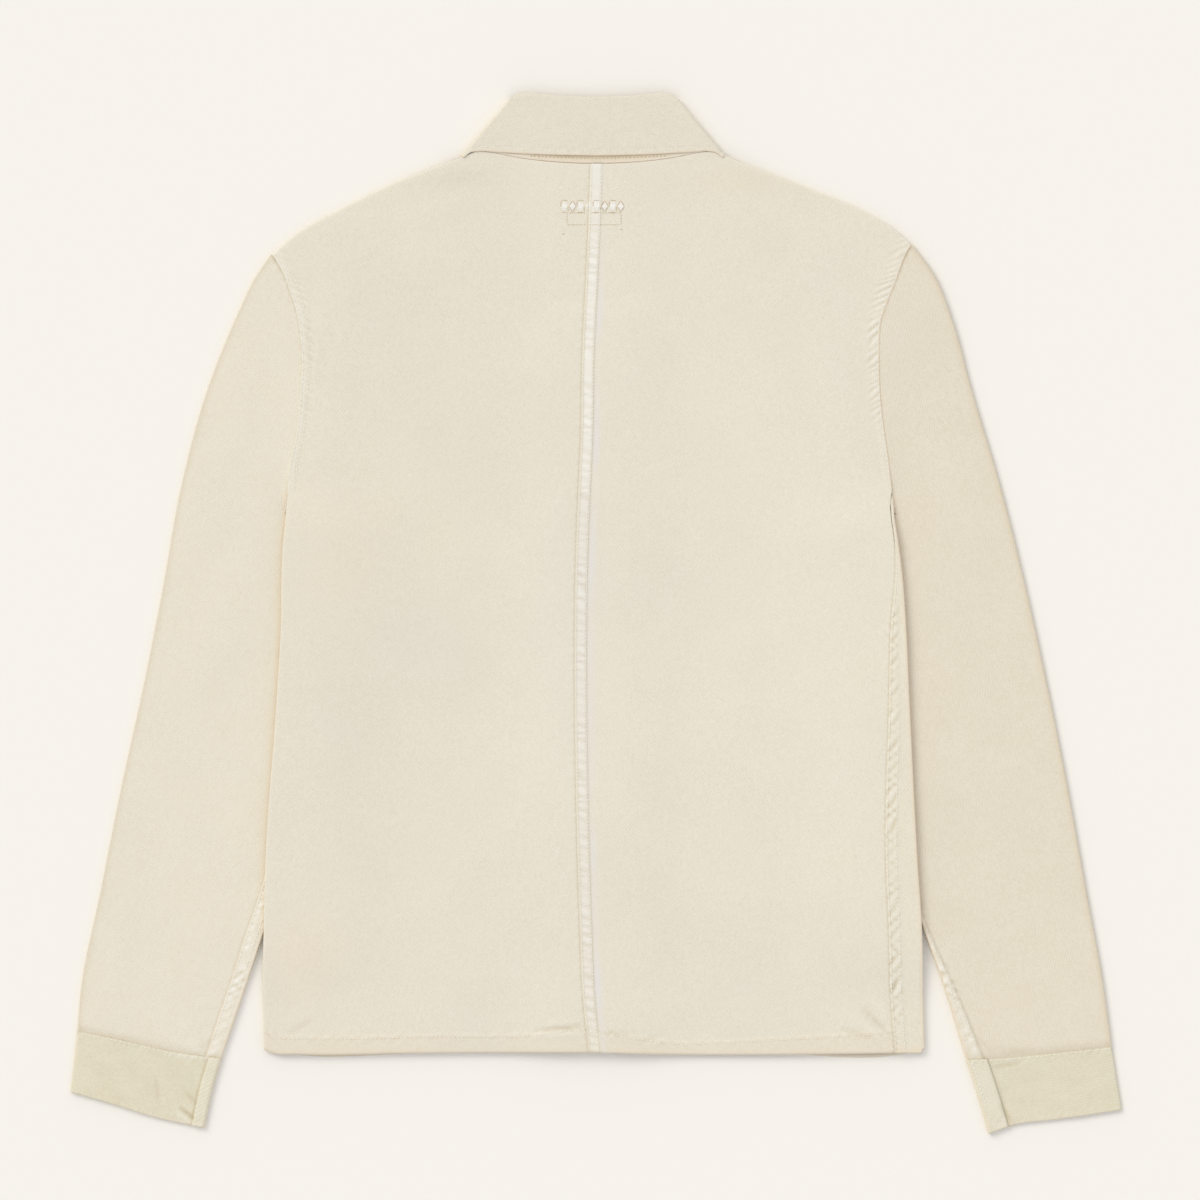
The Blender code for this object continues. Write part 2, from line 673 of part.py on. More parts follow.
# The right front's way round the right edge: heading of each stretch, in degrees from the
# underside, and its length along the armhole, where it lies flat
Wrap = namedtuple("Wrap", "heading flat_length")
WRAP = [
    Wrap(18, 0.5), Wrap(54, 0.5), Wrap(90, 0.5), Wrap(126, 0.5), Wrap(162, 0.5),
    Wrap(180, 0.6), Wrap(180, 0.5), Wrap(180, 0.9),
]
WRAP_FLAT = sum(wrap.flat_length for wrap in WRAP)
WRAP_ROUND = 5             # how many of them go round the fold
NARROW_BAND = 0.6          # share of the seam's width at most, where the seam nears the fold
NARROW_STEP = 0.2
BAND_FADES = (4.0, 6.0)    # width where the band's layers begin, and over which they come in


def wrapped_edge(place, v, folded):
    """Points of the right front round the right edge, each with its share of the band's layers.

    They start where the underside is still flat and end at the side seam on the back."""
    edge = place(1, v)
    seam = LINES["right"]["side_seam"](v / SIDE_PART)
    room = max(edge.x - FOLD_RADIUS - seam.x - GAP / 2, 0.5)
    band, step = min(SEAM_BAND, NARROW_BAND * room), min(BAND_STEP, NARROW_STEP * room)
    chord = 2 * FOLD_RADIUS * math.sin(math.radians(90 / WRAP_ROUND))
    lengths = [chord] * WRAP_ROUND + [room - band - step, step, band]
    raised = folded * smooth((room - BAND_FADES[0]) / BAND_FADES[1])
    x = edge.x - blend(WRAP_FLAT, FOLD_RADIUS, folded)
    z = underside(edge.x, edge.y)
    points = [(Vector((x, edge.y, z)), 0.0)]
    for k, (wrap, length) in enumerate(zip(WRAP, lengths)):
        run = blend(wrap.flat_length, length, folded)
        heading = math.radians(wrap.heading * folded)
        x += run * math.cos(heading)
        z += run * math.sin(heading)
        y = blend(edge.y, seam.y, folded if k >= WRAP_ROUND else 0)
        share = raised if k > WRAP_ROUND else 0.0
        points.append((Vector((x, y, z + BAND_RISE * share)), share))
    return points


def off_edge(place, v, inset, from_far):
    """A point of a sleeve that lies an inset in from its edge, square to the edge except at the
    armhole."""
    edge, probe = (1, 1 - EDGE_PROBE) if from_far else (0, EDGE_PROBE)
    start = place(edge, v)
    across = (place(probe, v) - start).normalized()
    along = place(edge, min(v + EDGE_PROBE, 1)) - place(edge, max(v - EDGE_PROBE, 0))
    square = Vector((-along.y, along.x)).normalized()
    if square.dot(across) < 0:
        square.negate()
    return start + across.lerp(square, smooth(v / SLEEVE_SHARES[1])).normalized() * inset


def sleeve(side):
    """A sleeve: rings from the armhole to the cuff, each once round both layers."""
    lines = LINES[side]
    armhole = armhole_side(side, 1)
    cuff_seam, outer, inner = lines["cuff_seam"], lines["sleeve_outer"], lines["sleeve_inner"]

    def place(u, v):
        across = outer(v).lerp(inner(blend(v ** PIT_POWER, v, PIT_SHARE)), u)
        from_armhole = armhole(1 - u) - outer(0).lerp(inner(0), u)
        from_cuff = cuff_seam(u) - cuff_seam(0).lerp(cuff_seam(1), u)
        return across + from_armhole * (1 - v) ** ARMHOLE_POWER + from_cuff * v

    ring = [("turn_out", k) for k in (0, 35, 65, 90)]
    ring += [("top", 1 - share) for share in reversed(ARMHOLE_SHARES)]
    ring += [("band", BAND_STEP), ("band", 0.0)]
    ring += [("turn_in", k) for k in (90, 65, 35, 0, -35, -65, -90)]
    ring += [("bottom", 1 - share) for share in ARMHOLE_SHARES]
    ring += [("turn_out", k) for k in (-90, -65, -35)]

    points, thick = [], []
    for v in SLEEVE_SHARES:
        depth = blend(BODY_DEPTH, SLEEVE_DEPTH, smooth(v / THINNED_BY))
        radius = depth / 2
        raised = smooth((v - SEAM_START) / SEAM_FADE)
        band = blend(SEAM_BAND, SLEEVE_BAND[side], smooth((v - WIDER_FROM) / WIDER_FADE))
        row_points, row_thick = [], []
        for kind, value in ring:
            weight = 0.0
            if kind in ("turn_out", "turn_in"):
                angle = math.radians(value)
                z = radius + radius * math.sin(angle)
                at = off_edge(place, v, radius * (1 - math.cos(angle)), kind == "turn_in")
                if kind == "turn_in" and value == 90:
                    weight = raised
            elif kind == "band":
                at, z = place(u_at_inset(place, band + value, v), v), depth
                weight = 0.0 if value else raised
            else:
                at, z = place(value, v), depth if kind == "top" else 0.0
            row_points.append(Vector((at.x, at.y, z + BAND_RISE * weight)))
            row_thick.append(weight)
        points.append(row_points)
        thick.append(row_thick)
    if side == "left":
        points = [list(reversed(row)) for row in points]
        thick = [list(reversed(row)) for row in thick]
    return grid_solid("sleeve_" + side, points, WALL, -1, "sleeve", thick, BAND_RISE, closed=True)


def cuff(side):
    """A cuff: an open strip round both layers, its end lapped on top at the inner edge."""
    lines = LINES[side]
    place = layout(lines["cuff_seam"], lines["cuff_edge"], lines["cuff_outer"],
                   lines["cuff_inner"])

    def turned(edge, high, headings):
        reach, middle = (high - CUFF_LOW) / 2, (high + CUFF_LOW) / 2
        return [(edge, WALL / 2 + reach * (1 - math.cos(math.radians(heading))),
                 middle + reach * math.sin(math.radians(heading))) for heading in headings]

    strip = [("inner", CUFF_UNDER_END, CUFF_HIGH)]
    strip += [("share", share, CUFF_HIGH) for share in reversed(CUFF_SHARES)]
    strip += turned("outer", CUFF_HIGH, (90, 45, 0, -45, -90))
    strip += [("share", share, CUFF_LOW) for share in CUFF_SHARES]
    strip += turned("inner", CUFF_LAP, (-90, -45, 0, 45, 90))
    strip += [("inner", CUFF_LAP_WIDTH[side], CUFF_LAP)]
    points = []
    for v in (0.0, 0.5, 1.0):
        row = []
        for kind, value, z in strip:
            if kind == "share":
                u = value
            else:
                u = u_at_inset(place, value, v, from_far=kind == "inner")
            at = place(u, v) - Vector((0, CUFF_SEAM_GAP * (1 - v)))
            row.append(Vector((at.x, at.y, z)))
        points.append(row)
    if side == "right":
        points = [list(reversed(row)) for row in points]
    return grid_solid("cuff_" + side, points, WALL, 0, "cuff")


Station = namedtuple("Station", "neck roll edge stand_out fall_out rise")


def collar_stations():
    """Sections of the collar from the left front, round the back, to the right front."""
    def half(sign):
        side = "left" if sign < 0 else "right"
        lines = {name: Line(around_neck(rows, sign))
                 for name, rows in (("roll_back", ROLL_BACK), ("roll_front", ROLL_FRONT),
                                    ("fall_back", FALL_BACK), ("fall_front", FALL_FRONT))}
        neck_back, neck_front = LINES[side]["neck_back"], LINES[side]["neck_front"]
        corner = Vector((COLLAR_X + sign * (90.0 - 2.6), 352.3))
        stations = []
        for share in FRONT_NECK_SHARES:
            neck = corner if share == 1 else neck_front(share)
            roll = lines["roll_front"](share)
            edge = lines["fall_front"](max(share - LEAF_START, 0) / (1 - LEAF_START))
            rise = overlap_rise(neck.x) if sign > 0 else 0.0
            under = Vector((0, 0, -1))
            stations.append(Station(neck, roll, edge, under, under, rise))
        roll, edge = lines["roll_back"](1), lines["fall_back"](1)
        down = (edge - roll).normalized()
        across = Vector((-down.y, down.x, 0)) * sign
        for degrees in (150, 120, 90, 60, 30):
            turn = math.radians(degrees)
            upright = Vector((0, 0, math.cos(turn)))
            stations.append(Station(corner, roll, edge,
                                    Vector((sign, 0, 0)) * math.sin(turn) + upright,
                                    across * math.sin(turn) + upright, 0))
        for share in reversed(NECK_SHARES):
            neck = corner if share == 1 else neck_back(share)
            above = Vector((0, 0, 1))
            stations.append(Station(neck, lines["roll_back"](share), lines["fall_back"](share),
                                    above, above, 0))
        return stations
    right = half(1)
    return half(-1) + list(reversed(right))[1:]


def collar_stand(stations):
    """The stand, from the neck seam to just below the roll."""
    rows = []
    for station in stations:
        up = (station.roll - station.neck).normalized()
        low, high = station.neck + up * STAND_TRIM, station.roll - up * STAND_TRIM
        level = Vector((0, 0, NECK_Z + station.rise))
        rows.append([low.lerp(high, t).to_3d() + level
                     + station.stand_out.lerp(station.fall_out, t).normalized() * STAND_OUT
                     for t in (0, 0.35, 0.7, 1)])
    return grid_solid("collar_stand", rows, WALL, 0, "stand")


def collar_fall(stations):
    """The fall: it rolls over the top of the stand and lies on it."""
    rows = []
    reach, middle = (FALL_OUT - STAND_OUT) / 2, (FALL_OUT + STAND_OUT) / 2
    for station in stations[1:-1]:
        down = (station.edge - station.roll).normalized()
        row = []
        for degrees in (0, 45, 90, 135, 180):
            turn = math.radians(degrees)
            offset = station.fall_out * (middle - reach * math.cos(turn))
            row.append(station.roll.to_3d() - down.to_3d() * reach * math.sin(turn) + offset)
        for t in (0.3, 0.65, 1):
            row.append(station.roll.lerp(station.edge, t).to_3d() + station.fall_out * FALL_OUT)
        rows.append([point + Vector((0, 0, NECK_Z)) for point in row])
    return grid_solid("collar_fall", rows, WALL, 0, "fall")


def button(index):
    """A round button with a raised rim, turned from half its section."""
    name = f"button_{index + 1}"
    mesh = bpy.data.meshes.new(name)
    piece = bpy.data.objects.new(name, mesh)
    collection.objects.link(piece)
    profile = bmesh.new()
    verts = [profile.verts.new((x * MM, 0, z * MM)) for x, z in BUTTON_SECTION]
    for a, b in zip(verts, verts[1:]):
        profile.edges.new((a, b))
    profile.to_mesh(mesh)
    profile.free()
    turned = piece.modifiers.new("Turned", "SCREW")
    turned.steps = turned.render_steps = BUTTON_SIDES
    turned.use_merge_vertices = True
    turned.merge_threshold = 0.00005
    piece.location = (CENTRE_X * MM, (BUTTON_TOP_Y - index * BUTTON_PITCH) * MM, 0)
    mesh.materials.append(twill(name, *COLOURS["button"]))
    return piece


for leftover in list(bpy.data.objects):
    bpy.data.objects.remove(leftover)
collection = bpy.data.collections.new("field_jacket")
bpy.context.scene.collection.children.link(collection)

for body_side in ("left", "right"):
    back_panel(body_side)
    front_panel(body_side)
    sleeve(body_side)
    cuff(body_side)
collar = collar_stations()
collar_stand(collar)
collar_fall(collar)
for number in range(BUTTON_COUNT):
    button(number)
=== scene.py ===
# A cream twill field jacket, laid flat with its back up, dressed for a plain studio photograph.
# The pattern is in millimetres, with the origin under the middle of the jacket, x to the right,
# y towards the collar and z up from the table. Meshes are made in metres.

import math

import bmesh
import bpy
import numpy as np
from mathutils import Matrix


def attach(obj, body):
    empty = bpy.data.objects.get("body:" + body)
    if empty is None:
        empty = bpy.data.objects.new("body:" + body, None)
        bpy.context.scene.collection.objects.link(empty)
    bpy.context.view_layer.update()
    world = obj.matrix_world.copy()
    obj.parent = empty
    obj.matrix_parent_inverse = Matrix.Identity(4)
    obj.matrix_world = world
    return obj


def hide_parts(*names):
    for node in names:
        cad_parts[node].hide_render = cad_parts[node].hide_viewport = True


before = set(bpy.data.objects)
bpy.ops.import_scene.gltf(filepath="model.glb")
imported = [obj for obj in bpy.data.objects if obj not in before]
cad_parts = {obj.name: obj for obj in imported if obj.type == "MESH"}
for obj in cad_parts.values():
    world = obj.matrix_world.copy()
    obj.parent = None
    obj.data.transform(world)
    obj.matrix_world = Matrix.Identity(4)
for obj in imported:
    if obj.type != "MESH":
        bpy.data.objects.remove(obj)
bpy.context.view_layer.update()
mm = 0.001
print("the jacket's frame is in")


# Easing, waves and lines that the whole pattern shares

def smooth(t):
    t = np.clip(t, 0.0, 1.0)
    return t * t * (3 - 2 * t)


def mix(a, b, t):
    return a + (b - a) * t


def within(value, start, rise, end, fall):
    # 1 between start and end, eased in over rise and out over fall
    return smooth((value - start) / rise) * smooth((end - value) / fall)


def fading(off, width):
    # 1 on a line, fading out over about two widths on both its sides
    return np.exp(-(off / width) ** 2)


def spread(u, v):
    # shares as arrays of one shape
    return np.broadcast_arrays(np.asarray(u, float), np.asarray(v, float))


def swell(x, y, length, seed, waves=7):
    # an uneven rise and fall of about -1 to 1, made of a few waves that run in turned directions
    draw = np.random.default_rng(seed)
    total = 0.0
    for _ in range(waves):
        angle, phase = draw.uniform(0, 2 * math.pi, 2)
        wave = 2 * math.pi / (length * draw.uniform(0.6, 1.6))
        total = total + np.sin((x * math.cos(angle) + y * math.sin(angle)) * wave + phase)
    return total / math.sqrt(waves) * 0.8


def pucker(along, across, pitch, slant, reach, seed):
    # small ridges across a line of stitches, 1 at their tops and -1 between them
    drift = 0.55 * swell(along, 0.0, 55, seed) + 0.25 * swell(along, 0.0, 17, seed + 1)
    force = 0.62 + 0.38 * swell(along, 0.0, 30, seed + 2)
    ridge = np.sin(2 * math.pi * (along / pitch + slant * across / pitch + drift))
    return ridge * np.clip(force, 0.1, 1.2) * fading(across, reach)


def reach(a, b):
    return np.linalg.norm(a - b, axis=-1)


def travelled(points):
    # the way along a path to each of its points
    return np.concatenate([[0.0], np.cumsum(reach(points[1:], points[:-1]))])


class SeamLine:
    # a smooth line through a few points, read at shares of its length
    def __init__(self, points, steps=14):
        p = np.array([q[:2] for q in points], float)
        chord = np.linalg.norm(np.diff(p, axis=0), axis=1)[:, None]
        slope = np.diff(p, axis=0) / chord
        inner = (slope[1:] * chord[:-1] + slope[:-1] * chord[1:]) / (chord[:-1] + chord[1:])
        tangent = np.vstack([slope[:1], inner, slope[-1:]])
        t = (np.arange(steps) / steps)[None, :, None]
        a, b, run = p[:-1, None], p[1:, None], chord[:, None]
        ta, tb = tangent[:-1, None], tangent[1:, None]
        curve = (a * (2 * t**3 - 3 * t**2 + 1) + b * (3 * t**2 - 2 * t**3)
                 + ta * run * (t**3 - 2 * t**2 + t) + tb * run * (t**3 - t**2))
        self.points = np.vstack([curve.reshape(-1, 2), p[-1:]])
        self.at = travelled(self.points)
        self.length = self.at[-1]

    def __call__(self, share):
        place = np.clip(share, 0.0, 1.0) * self.length
        return np.stack([np.interp(place, self.at, self.points[:, i]) for i in (0, 1)], -1)


def joined(first, second, part):
    # two lines read as one, the first up to the share part
    def at(share):
        share = np.asarray(share, float)
        low, high = first(share / part), second((share - part) / (1 - part))
        return np.where((share <= part)[..., None], low, high)
    return at


def moved(line, dx):
    return lambda share: line(share) + np.array([dx, 0.0])


def spanned(bottom, top, near, far):
    # a panel between four lines; near and far run from the bottom to the top
    def at(u, v):
        u, v = spread(u, v)
        p, q = u[..., None], v[..., None]
        across = bottom(u) * (1 - q) + top(u) * q
        along = near(v) * (1 - p) + far(v) * p
        low = bottom(np.zeros_like(u)) * (1 - p) + bottom(np.ones_like(u)) * p
        high = top(np.zeros_like(u)) * (1 - p) + top(np.ones_like(u)) * p
        return across + along - low * (1 - q) - high * q
    return at


class Layout:
    # a panel's place in the plane, with the distances from its sides in millimetres
    probe = 0.04

    def __init__(self, at):
        self.at = at

    def farScale(self, v):
        return reach(self.at(1.0, v), self.at(1 - self.probe, v)) / self.probe

    def nearScale(self, v):
        return reach(self.at(self.probe, v), self.at(0.0, v)) / self.probe

    def topScale(self, u):
        return reach(self.at(u, 1.0), self.at(u, 1 - self.probe)) / self.probe

    def hemScale(self, u):
        return reach(self.at(u, self.probe), self.at(u, 0.0)) / self.probe


# The cut of the jacket: every line that two pieces share. Rows run (left x, left y, right x,
# right y) unless a note says otherwise.

cut = {
    "wall": 1.2, "shell": 0.8, "gap": 0.3, "armholeGap": 0.2, "tipGap": 0.35,
    "foldRadius": 2.6, "foldPower": 0.45, "bodyDepth": 5.2, "sleeveDepth": 3.8,
    "seamBand": 10.0, "armholeBand": 7.0, "bandRise": 0.9,
    "centreX": -1.4, "overlap": 17.0, "neckPart": 0.375, "frontNeckPart": 0.41, "sidePart": 0.69,
    # y, left edge, centre back, side seam on the back, right edge
    "body": [(-330.5, -252.3, -6.6, 226.3, 249.2), (-287.0, -253.3, -11.0, 222.8, 248.2),
             (-242.0, -252.5, -12.9, 221.6, 247.3), (-187.0, -251.2, -14.7, 219.3, 243.9),
             (-65.0, -242.7, -16.9, 221.7, 237.7), (-4.0, -239.3, -16.9, 223.4, 234.8),
             (30.0, -239.0, -16.4, 226.4, 232.2), (56.0, -237.7, -15.7, 226.0, 228.9),
             (72.0, -236.1, -15.1, 224.0, 226.4), (84.0, -235.3, -14.6, 223.3, 225.5),
             (94.5, -234.7, -14.1, 224.7, 224.7)],
    "centreBackUpper": [(-12.4, 132.0), (-11.2, 200.0), (-8.8, 250.0), (-7.0, 285.0)],
    "armhole": [(-234.7, 94.5, 224.7, 94.5), (-233.5, 111.5, 222.5, 114.7),
                (-229.2, 130.8, 217.7, 149.4), (-225.5, 165.4, 215.6, 173.9),
                (-223.8, 189.3, 215.1, 197.4), (-225.5, 213.5, 216.7, 224.1),
                (-228.7, 231.5, 219.9, 233.7), (-233.5, 246.5, 228.4, 255.0),
                (-238.9, 260.3, 235.9, 273.7), (-246.8, 273.2, 239.9, 280.4)],
    "shoulder": [(-90.5, 352.0, 89.5, 352.0), (-118.8, 341.4, 115.3, 341.4),
                 (-165.1, 322.4, 164.7, 322.4), (-196.2, 306.8, 202.8, 306.8),
                 (-224.9, 291.3, 229.4, 290.7), (-246.8, 273.2, 239.9, 280.4)],
    "sleeveOuter": [(-246.8, 273.2, 239.9, 280.4), (-260.1, 252.9, 256.1, 258.2),
                    (-270.8, 230.5, 270.0, 224.1), (-295.1, 170.4, 284.9, 170.7),
                    (-315.6, 94.4, 307.6, 94.4), (-329.3, 18.4, 326.6, 18.4),
                    (-344.5, -57.6, 343.3, -57.6), (-361.2, -133.6, 358.5, -133.6),
                    (-376.4, -209.7, 372.2, -209.7), (-391.6, -285.7, 385.9, -285.7),
                    (-394.2, -315.5, 391.5, -327.8)],
    "sleeveInner": [(-234.7, 94.5, 224.7, 94.5), (-238.7, 90.5, 228.7, 90.5),
                    (-240.8, 82.0, 231.2, 82.0), (-240.8, 68.0, 231.8, 68.0),
                    (-239.6, 54.0, 230.8, 54.0), (-233.0, 10.8, 226.5, 10.8),
                    (-224.4, -65.2, 218.0, -65.2), (-227.5, -141.2, 222.5, -141.2),
                    (-240.8, -206.6, 236.9, -206.6), (-252.9, -243.1, 250.0, -244.0),
                    (-265.7, -281.5, 262.0, -277.5), (-284.5, -336.6, 280.6, -337.5)],
    "cuffSeam": [(-394.2, -315.5, 391.5, -327.8), (-358.7, -322.8, 356.5, -331.4),
                 (-316.8, -332.2, 306.2, -336.4), (-284.5, -336.6, 280.6, -337.5)],
    "cuffEdge": [(-399.5, -363.0, 399.2, -376.5), (-366.9, -372.3, 349.7, -383.9),
                 (-337.8, -381.6, 317.1, -388.1), (-297.7, -390.3, 297.8, -394.8)],
    "cuffOuter": [(-394.2, -315.5, 391.5, -327.8), (-399.5, -363.0, 399.2, -376.5)],
    "cuffInner": [(-284.5, -336.6, 280.6, -337.5), (-290.8, -358.3, 286.9, -357.3),
                  (-297.7, -390.3, 297.8, -394.8)],
    # x, y from the centre back outwards
    "hemLeft": [(-6.6, -332.8), (-134.0, -333.4), (-227.5, -334.4), (-245.0, -333.6),
                (-252.3, -330.5)],
    "hemRight": [(-6.6, -332.8), (63.6, -334.5), (185.2, -334.0), (226.3, -333.4)],
    "hemRightEdge": (249.2, -330.5),
    # x along the hem, and how far above its edge the row of stitches runs
    "hemStitch": ((-249.0, -230.0, -58.0, -35.0, -12.5, -6.5, 6.5, 25.0, 63.6, 79.0, 155.0,
                   191.0, 217.0, 230.0),
                  (12.9, 12.0, 12.2, 14.5, 18.4, 16.5, 15.4, 12.2, 7.8, 8.4, 11.9, 13.4, 15.2,
                   16.2)),
    # distance from the middle of the collar, y
    "collarX": -0.5, "collarWide": {"left": 1.04, "right": 1.0}, "centreBackTop": (-5.0, 342.0),
    "neckBack": [(12.0, 342.15), (25.0, 342.75), (38.0, 343.8), (50.0, 345.2), (64.0, 347.4),
                 (77.0, 350.2), (90.0, 352.0)],
    "neckFront": [(-17.0, 276.5), (1.0, 277.0), (19.0, 280.5), (46.0, 295.8), (72.0, 322.4),
                  (90.0, 352.0)],
    "rollBack": [(0.0, 391.6), (26.0, 392.6), (43.0, 394.0), (54.0, 394.5), (59.5, 392.9),
                 (62.6, 389.6)],
    "rollFront": [(-17.0, 299.0), (1.0, 302.0), (20.0, 308.0), (44.0, 332.0), (56.0, 361.0),
                  (62.6, 389.6)],
    "fallBack": [(0.0, 347.9), (37.0, 348.8), (75.0, 350.8), (85.0, 351.4), (92.0, 350.2),
                 (96.5, 346.4)],
    "fallFront": [(42.0, 239.0), (62.0, 264.0), (79.0, 298.0), (89.5, 328.0), (96.5, 346.4)],
}
sides = {"left": -1, "right": 1}


def cutLines(side):
    column = 0 if side == "left" else 2
    lines = {name: SeamLine([row[column:column + 2] for row in cut[name]])
             for name in ("armhole", "shoulder", "sleeveOuter", "sleeveInner", "cuffSeam",
                          "cuffEdge", "cuffOuter", "cuffInner")}
    hem = cut["hemLeft"] if side == "left" else cut["hemRight"]
    body = cut["body"]
    edge = 1 if side == "left" else 4
    lines["edge"] = SeamLine([(row[edge], row[0]) for row in body])
    lines["hem"] = SeamLine(hem)
    lines["sideSeam"] = SeamLine([(body[0][3], hem[-1][1])] + [(row[3], row[0]) for row in body[1:]])
    lines["centreBack"] = SeamLine([(body[0][2], hem[0][1])] + [(row[2], row[0]) for row in body[1:]]
                                   + cut["centreBackUpper"] + [cut["centreBackTop"]])
    for name in ("neckBack", "neckFront", "rollBack", "rollFront", "fallBack", "fallFront"):
        wide = cut["collarWide"][side] if name[:4] in ("roll", "fall") else 1.0
        points = [(cut["collarX"] + sides[side] * x * wide, y) for x, y in cut[name]]
        lines[name] = SeamLine([cut["centreBackTop"]] + points if name == "neckBack" else points)
    return lines


lines = {side: cutLines(side) for side in sides}


def armholeLine(side, toward):
    # the armhole seam moved a little towards the body, -1, or the sleeve, 1
    outward = toward * sides[side]
    line = lines[side]["armhole"]

    def at(share):
        share = np.asarray(share, float)
        shift = cut["armholeGap"] + cut["tipGap"] * smooth((share - 0.9) / 0.08)
        return line(share) + np.stack([outward * shift, np.zeros_like(shift)], -1)
    return at


# Heights: what lifts the cloth, and the folds and creases that run over it

lifts = {"tuck": 5.05, "tuckLevel": 24.0, "tuckFade": 88.0, "tuckTop": (106.0, 50.0),
         "tuckEnd": (-302.0, 54.0), "leaf": 1.55, "leafCentre": (-0.5, 335.0), "leafReach": 112.0,
         "leafFade": 58.0, "button": 2.9, "buttonLevel": 14.0, "buttonFade": 66.0,
         "buttonTop": (262.0, 44.0), "overlapRise": 1.8, "overlapLevel": 9.0, "overlapFade": 11.0,
         "centreRoom": 0.9, "centreLevel": 22.0, "centreFade": 45.0}

# soft folds and troughs over the upper side: x, y, x, y, half width, height
backFolds = [
    (-190.0, 240.0, -205.0, 120.0, 26.0, 0.7), (175.0, 235.0, 190.0, 110.0, 26.0, 0.7),
    (-60.0, -318.0, 60.0, -300.0, 30.0, 0.6), (150.0, -240.0, 205.0, -320.0, 28.0, 0.8),
    (-215.0, -60.0, -180.0, -250.0, 34.0, 0.6),
    (-196.0, 228.0, -208.0, 176.0, 7.0, -0.35), (-216.0, 262.0, -215.0, 188.0, 5.0, -0.3),
    (-214.0, 296.0, -120.0, 250.0, 24.0, 0.4), (214.0, 296.0, 130.0, 236.0, 24.0, 0.4),
    (-222.0, 84.0, -150.0, 40.0, 22.0, 0.5), (214.0, 84.0, 150.0, 30.0, 22.0, 0.5),
    (-140.0, 120.0, -90.0, -40.0, 40.0, -0.4), (80.0, 150.0, 140.0, 20.0, 42.0, -0.4),
    (60.0, -80.0, 180.0, -150.0, 38.0, 0.45), (-40.0, -120.0, -150.0, -190.0, 40.0, -0.4),
    (-74.0, 335.0, -128.0, 320.0, 13.0, -0.6), (-66.0, 322.0, -120.0, 304.0, 15.0, 0.35),
    (92.0, 330.0, 150.0, 304.0, 16.0, -0.45), (98.0, 343.0, 160.0, 322.0, 9.0, 0.3),
]
# short sharp creases, with the same columns
creases = [
    (-12.0, -312.4, -44.0, -315.6, 2.6, -0.8), (-14.0, -318.5, -50.0, -319.5, 3.0, 0.4),
    (-14.0, -308.8, -40.0, -311.6, 2.4, 0.3), (2.0, -316.2, 24.0, -318.6, 2.4, -0.35),
    (204.0, -300.0, 219.0, -316.0, 3.2, -0.6), (196.0, -306.0, 214.0, -319.0, 3.2, 0.45),
    (208.0, -291.0, 220.0, -303.0, 3.0, 0.4), (186.0, -314.0, 208.0, -322.0, 3.4, -0.4),
    (-233.0, -318.0, -216.0, -308.0, 3.5, -0.35),
]
# wide patches of the wash's stains, and over the shoulder folds painted shade and light: x, y, half
# width, half height, paler, yellower
washAndShadePatches = [
    (-130.0, 0.0, 130.0, 330.0, -0.03, 0.03), (120.0, 80.0, 110.0, 230.0, 0.03, 0.0),
    (120.0, -230.0, 120.0, 90.0, -0.02, 0.04), (-150.0, 250.0, 90.0, 40.0, -0.02, 0.0),
    (-110.0, 130.0, 90.0, 60.0, -0.03, -0.06),
    (-140.0, -20.0, 50.0, 40.0, -0.03, -0.2), (-25.0, -30.0, 35.0, 110.0, 0.0, -0.2),
    (-225.0, -262.0, 34.0, 40.0, 0.0, 0.22), (-200.0, 40.0, 40.0, 60.0, 0.0, 0.12),
    (-60.0, -120.0, 70.0, 45.0, 0.05, 0.04), (-160.0, -200.0, 60.0, 70.0, 0.03, 0.05),
    (120.0, 220.0, 90.0, 60.0, 0.02, 0.03), (140.0, 40.0, 60.0, 70.0, 0.04, 0.03),
    (190.0, -115.0, 40.0, 45.0, -0.02, -0.14), (100.0, -180.0, 80.0, 60.0, 0.02, 0.0),
    (40.0, 200.0, 40.0, 60.0, -0.01, -0.08), (-20.0, -270.0, 160.0, 40.0, 0.0, -0.06),
    # painted shade in the left shoulder trough, and painted warm light on the right shoulder ridge
    (-100.0, 329.0, 34.0, 9.0, -0.12, 0.0), (112.0, 330.0, 50.0, 14.0, -0.05, 0.16),
]


def lengthwise(rows, x, y):
    # the height of the folds in a table at every point
    total = np.zeros_like(x)
    for x1, y1, x2, y2, halfWidth, height in rows:
        dx, dy = x2 - x1, y2 - y1
        t = np.clip(((x - x1) * dx + (y - y1) * dy) / (dx * dx + dy * dy), 0.0, 1.0)
        off = np.hypot(x - x1 - t * dx, y - y1 - t * dy)
        total += height * smooth(1 - off / halfWidth) * (0.55 + 0.45 * np.sin(math.pi * t))
    return total


def washAndShade(x, y, kind):
    # paler or browner, 0, and yellower or bluer, 1, patches of the washed cloth, with painted shade and
    # light at the shoulder folds
    total = np.zeros_like(x)
    for patchX, patchY, halfWidth, halfHeight, *amounts in washAndShadePatches:
        off = ((x - patchX) / halfWidth) ** 2 + ((y - patchY) / halfHeight) ** 2
        total += amounts[kind] * np.exp(-off)
    return total


def fromEdges(x, y):
    rows = np.array(cut["body"])
    return np.minimum(x - np.interp(y, rows[:, 0], rows[:, 1]),
                      np.interp(y, rows[:, 0], rows[:, 4]) - x)


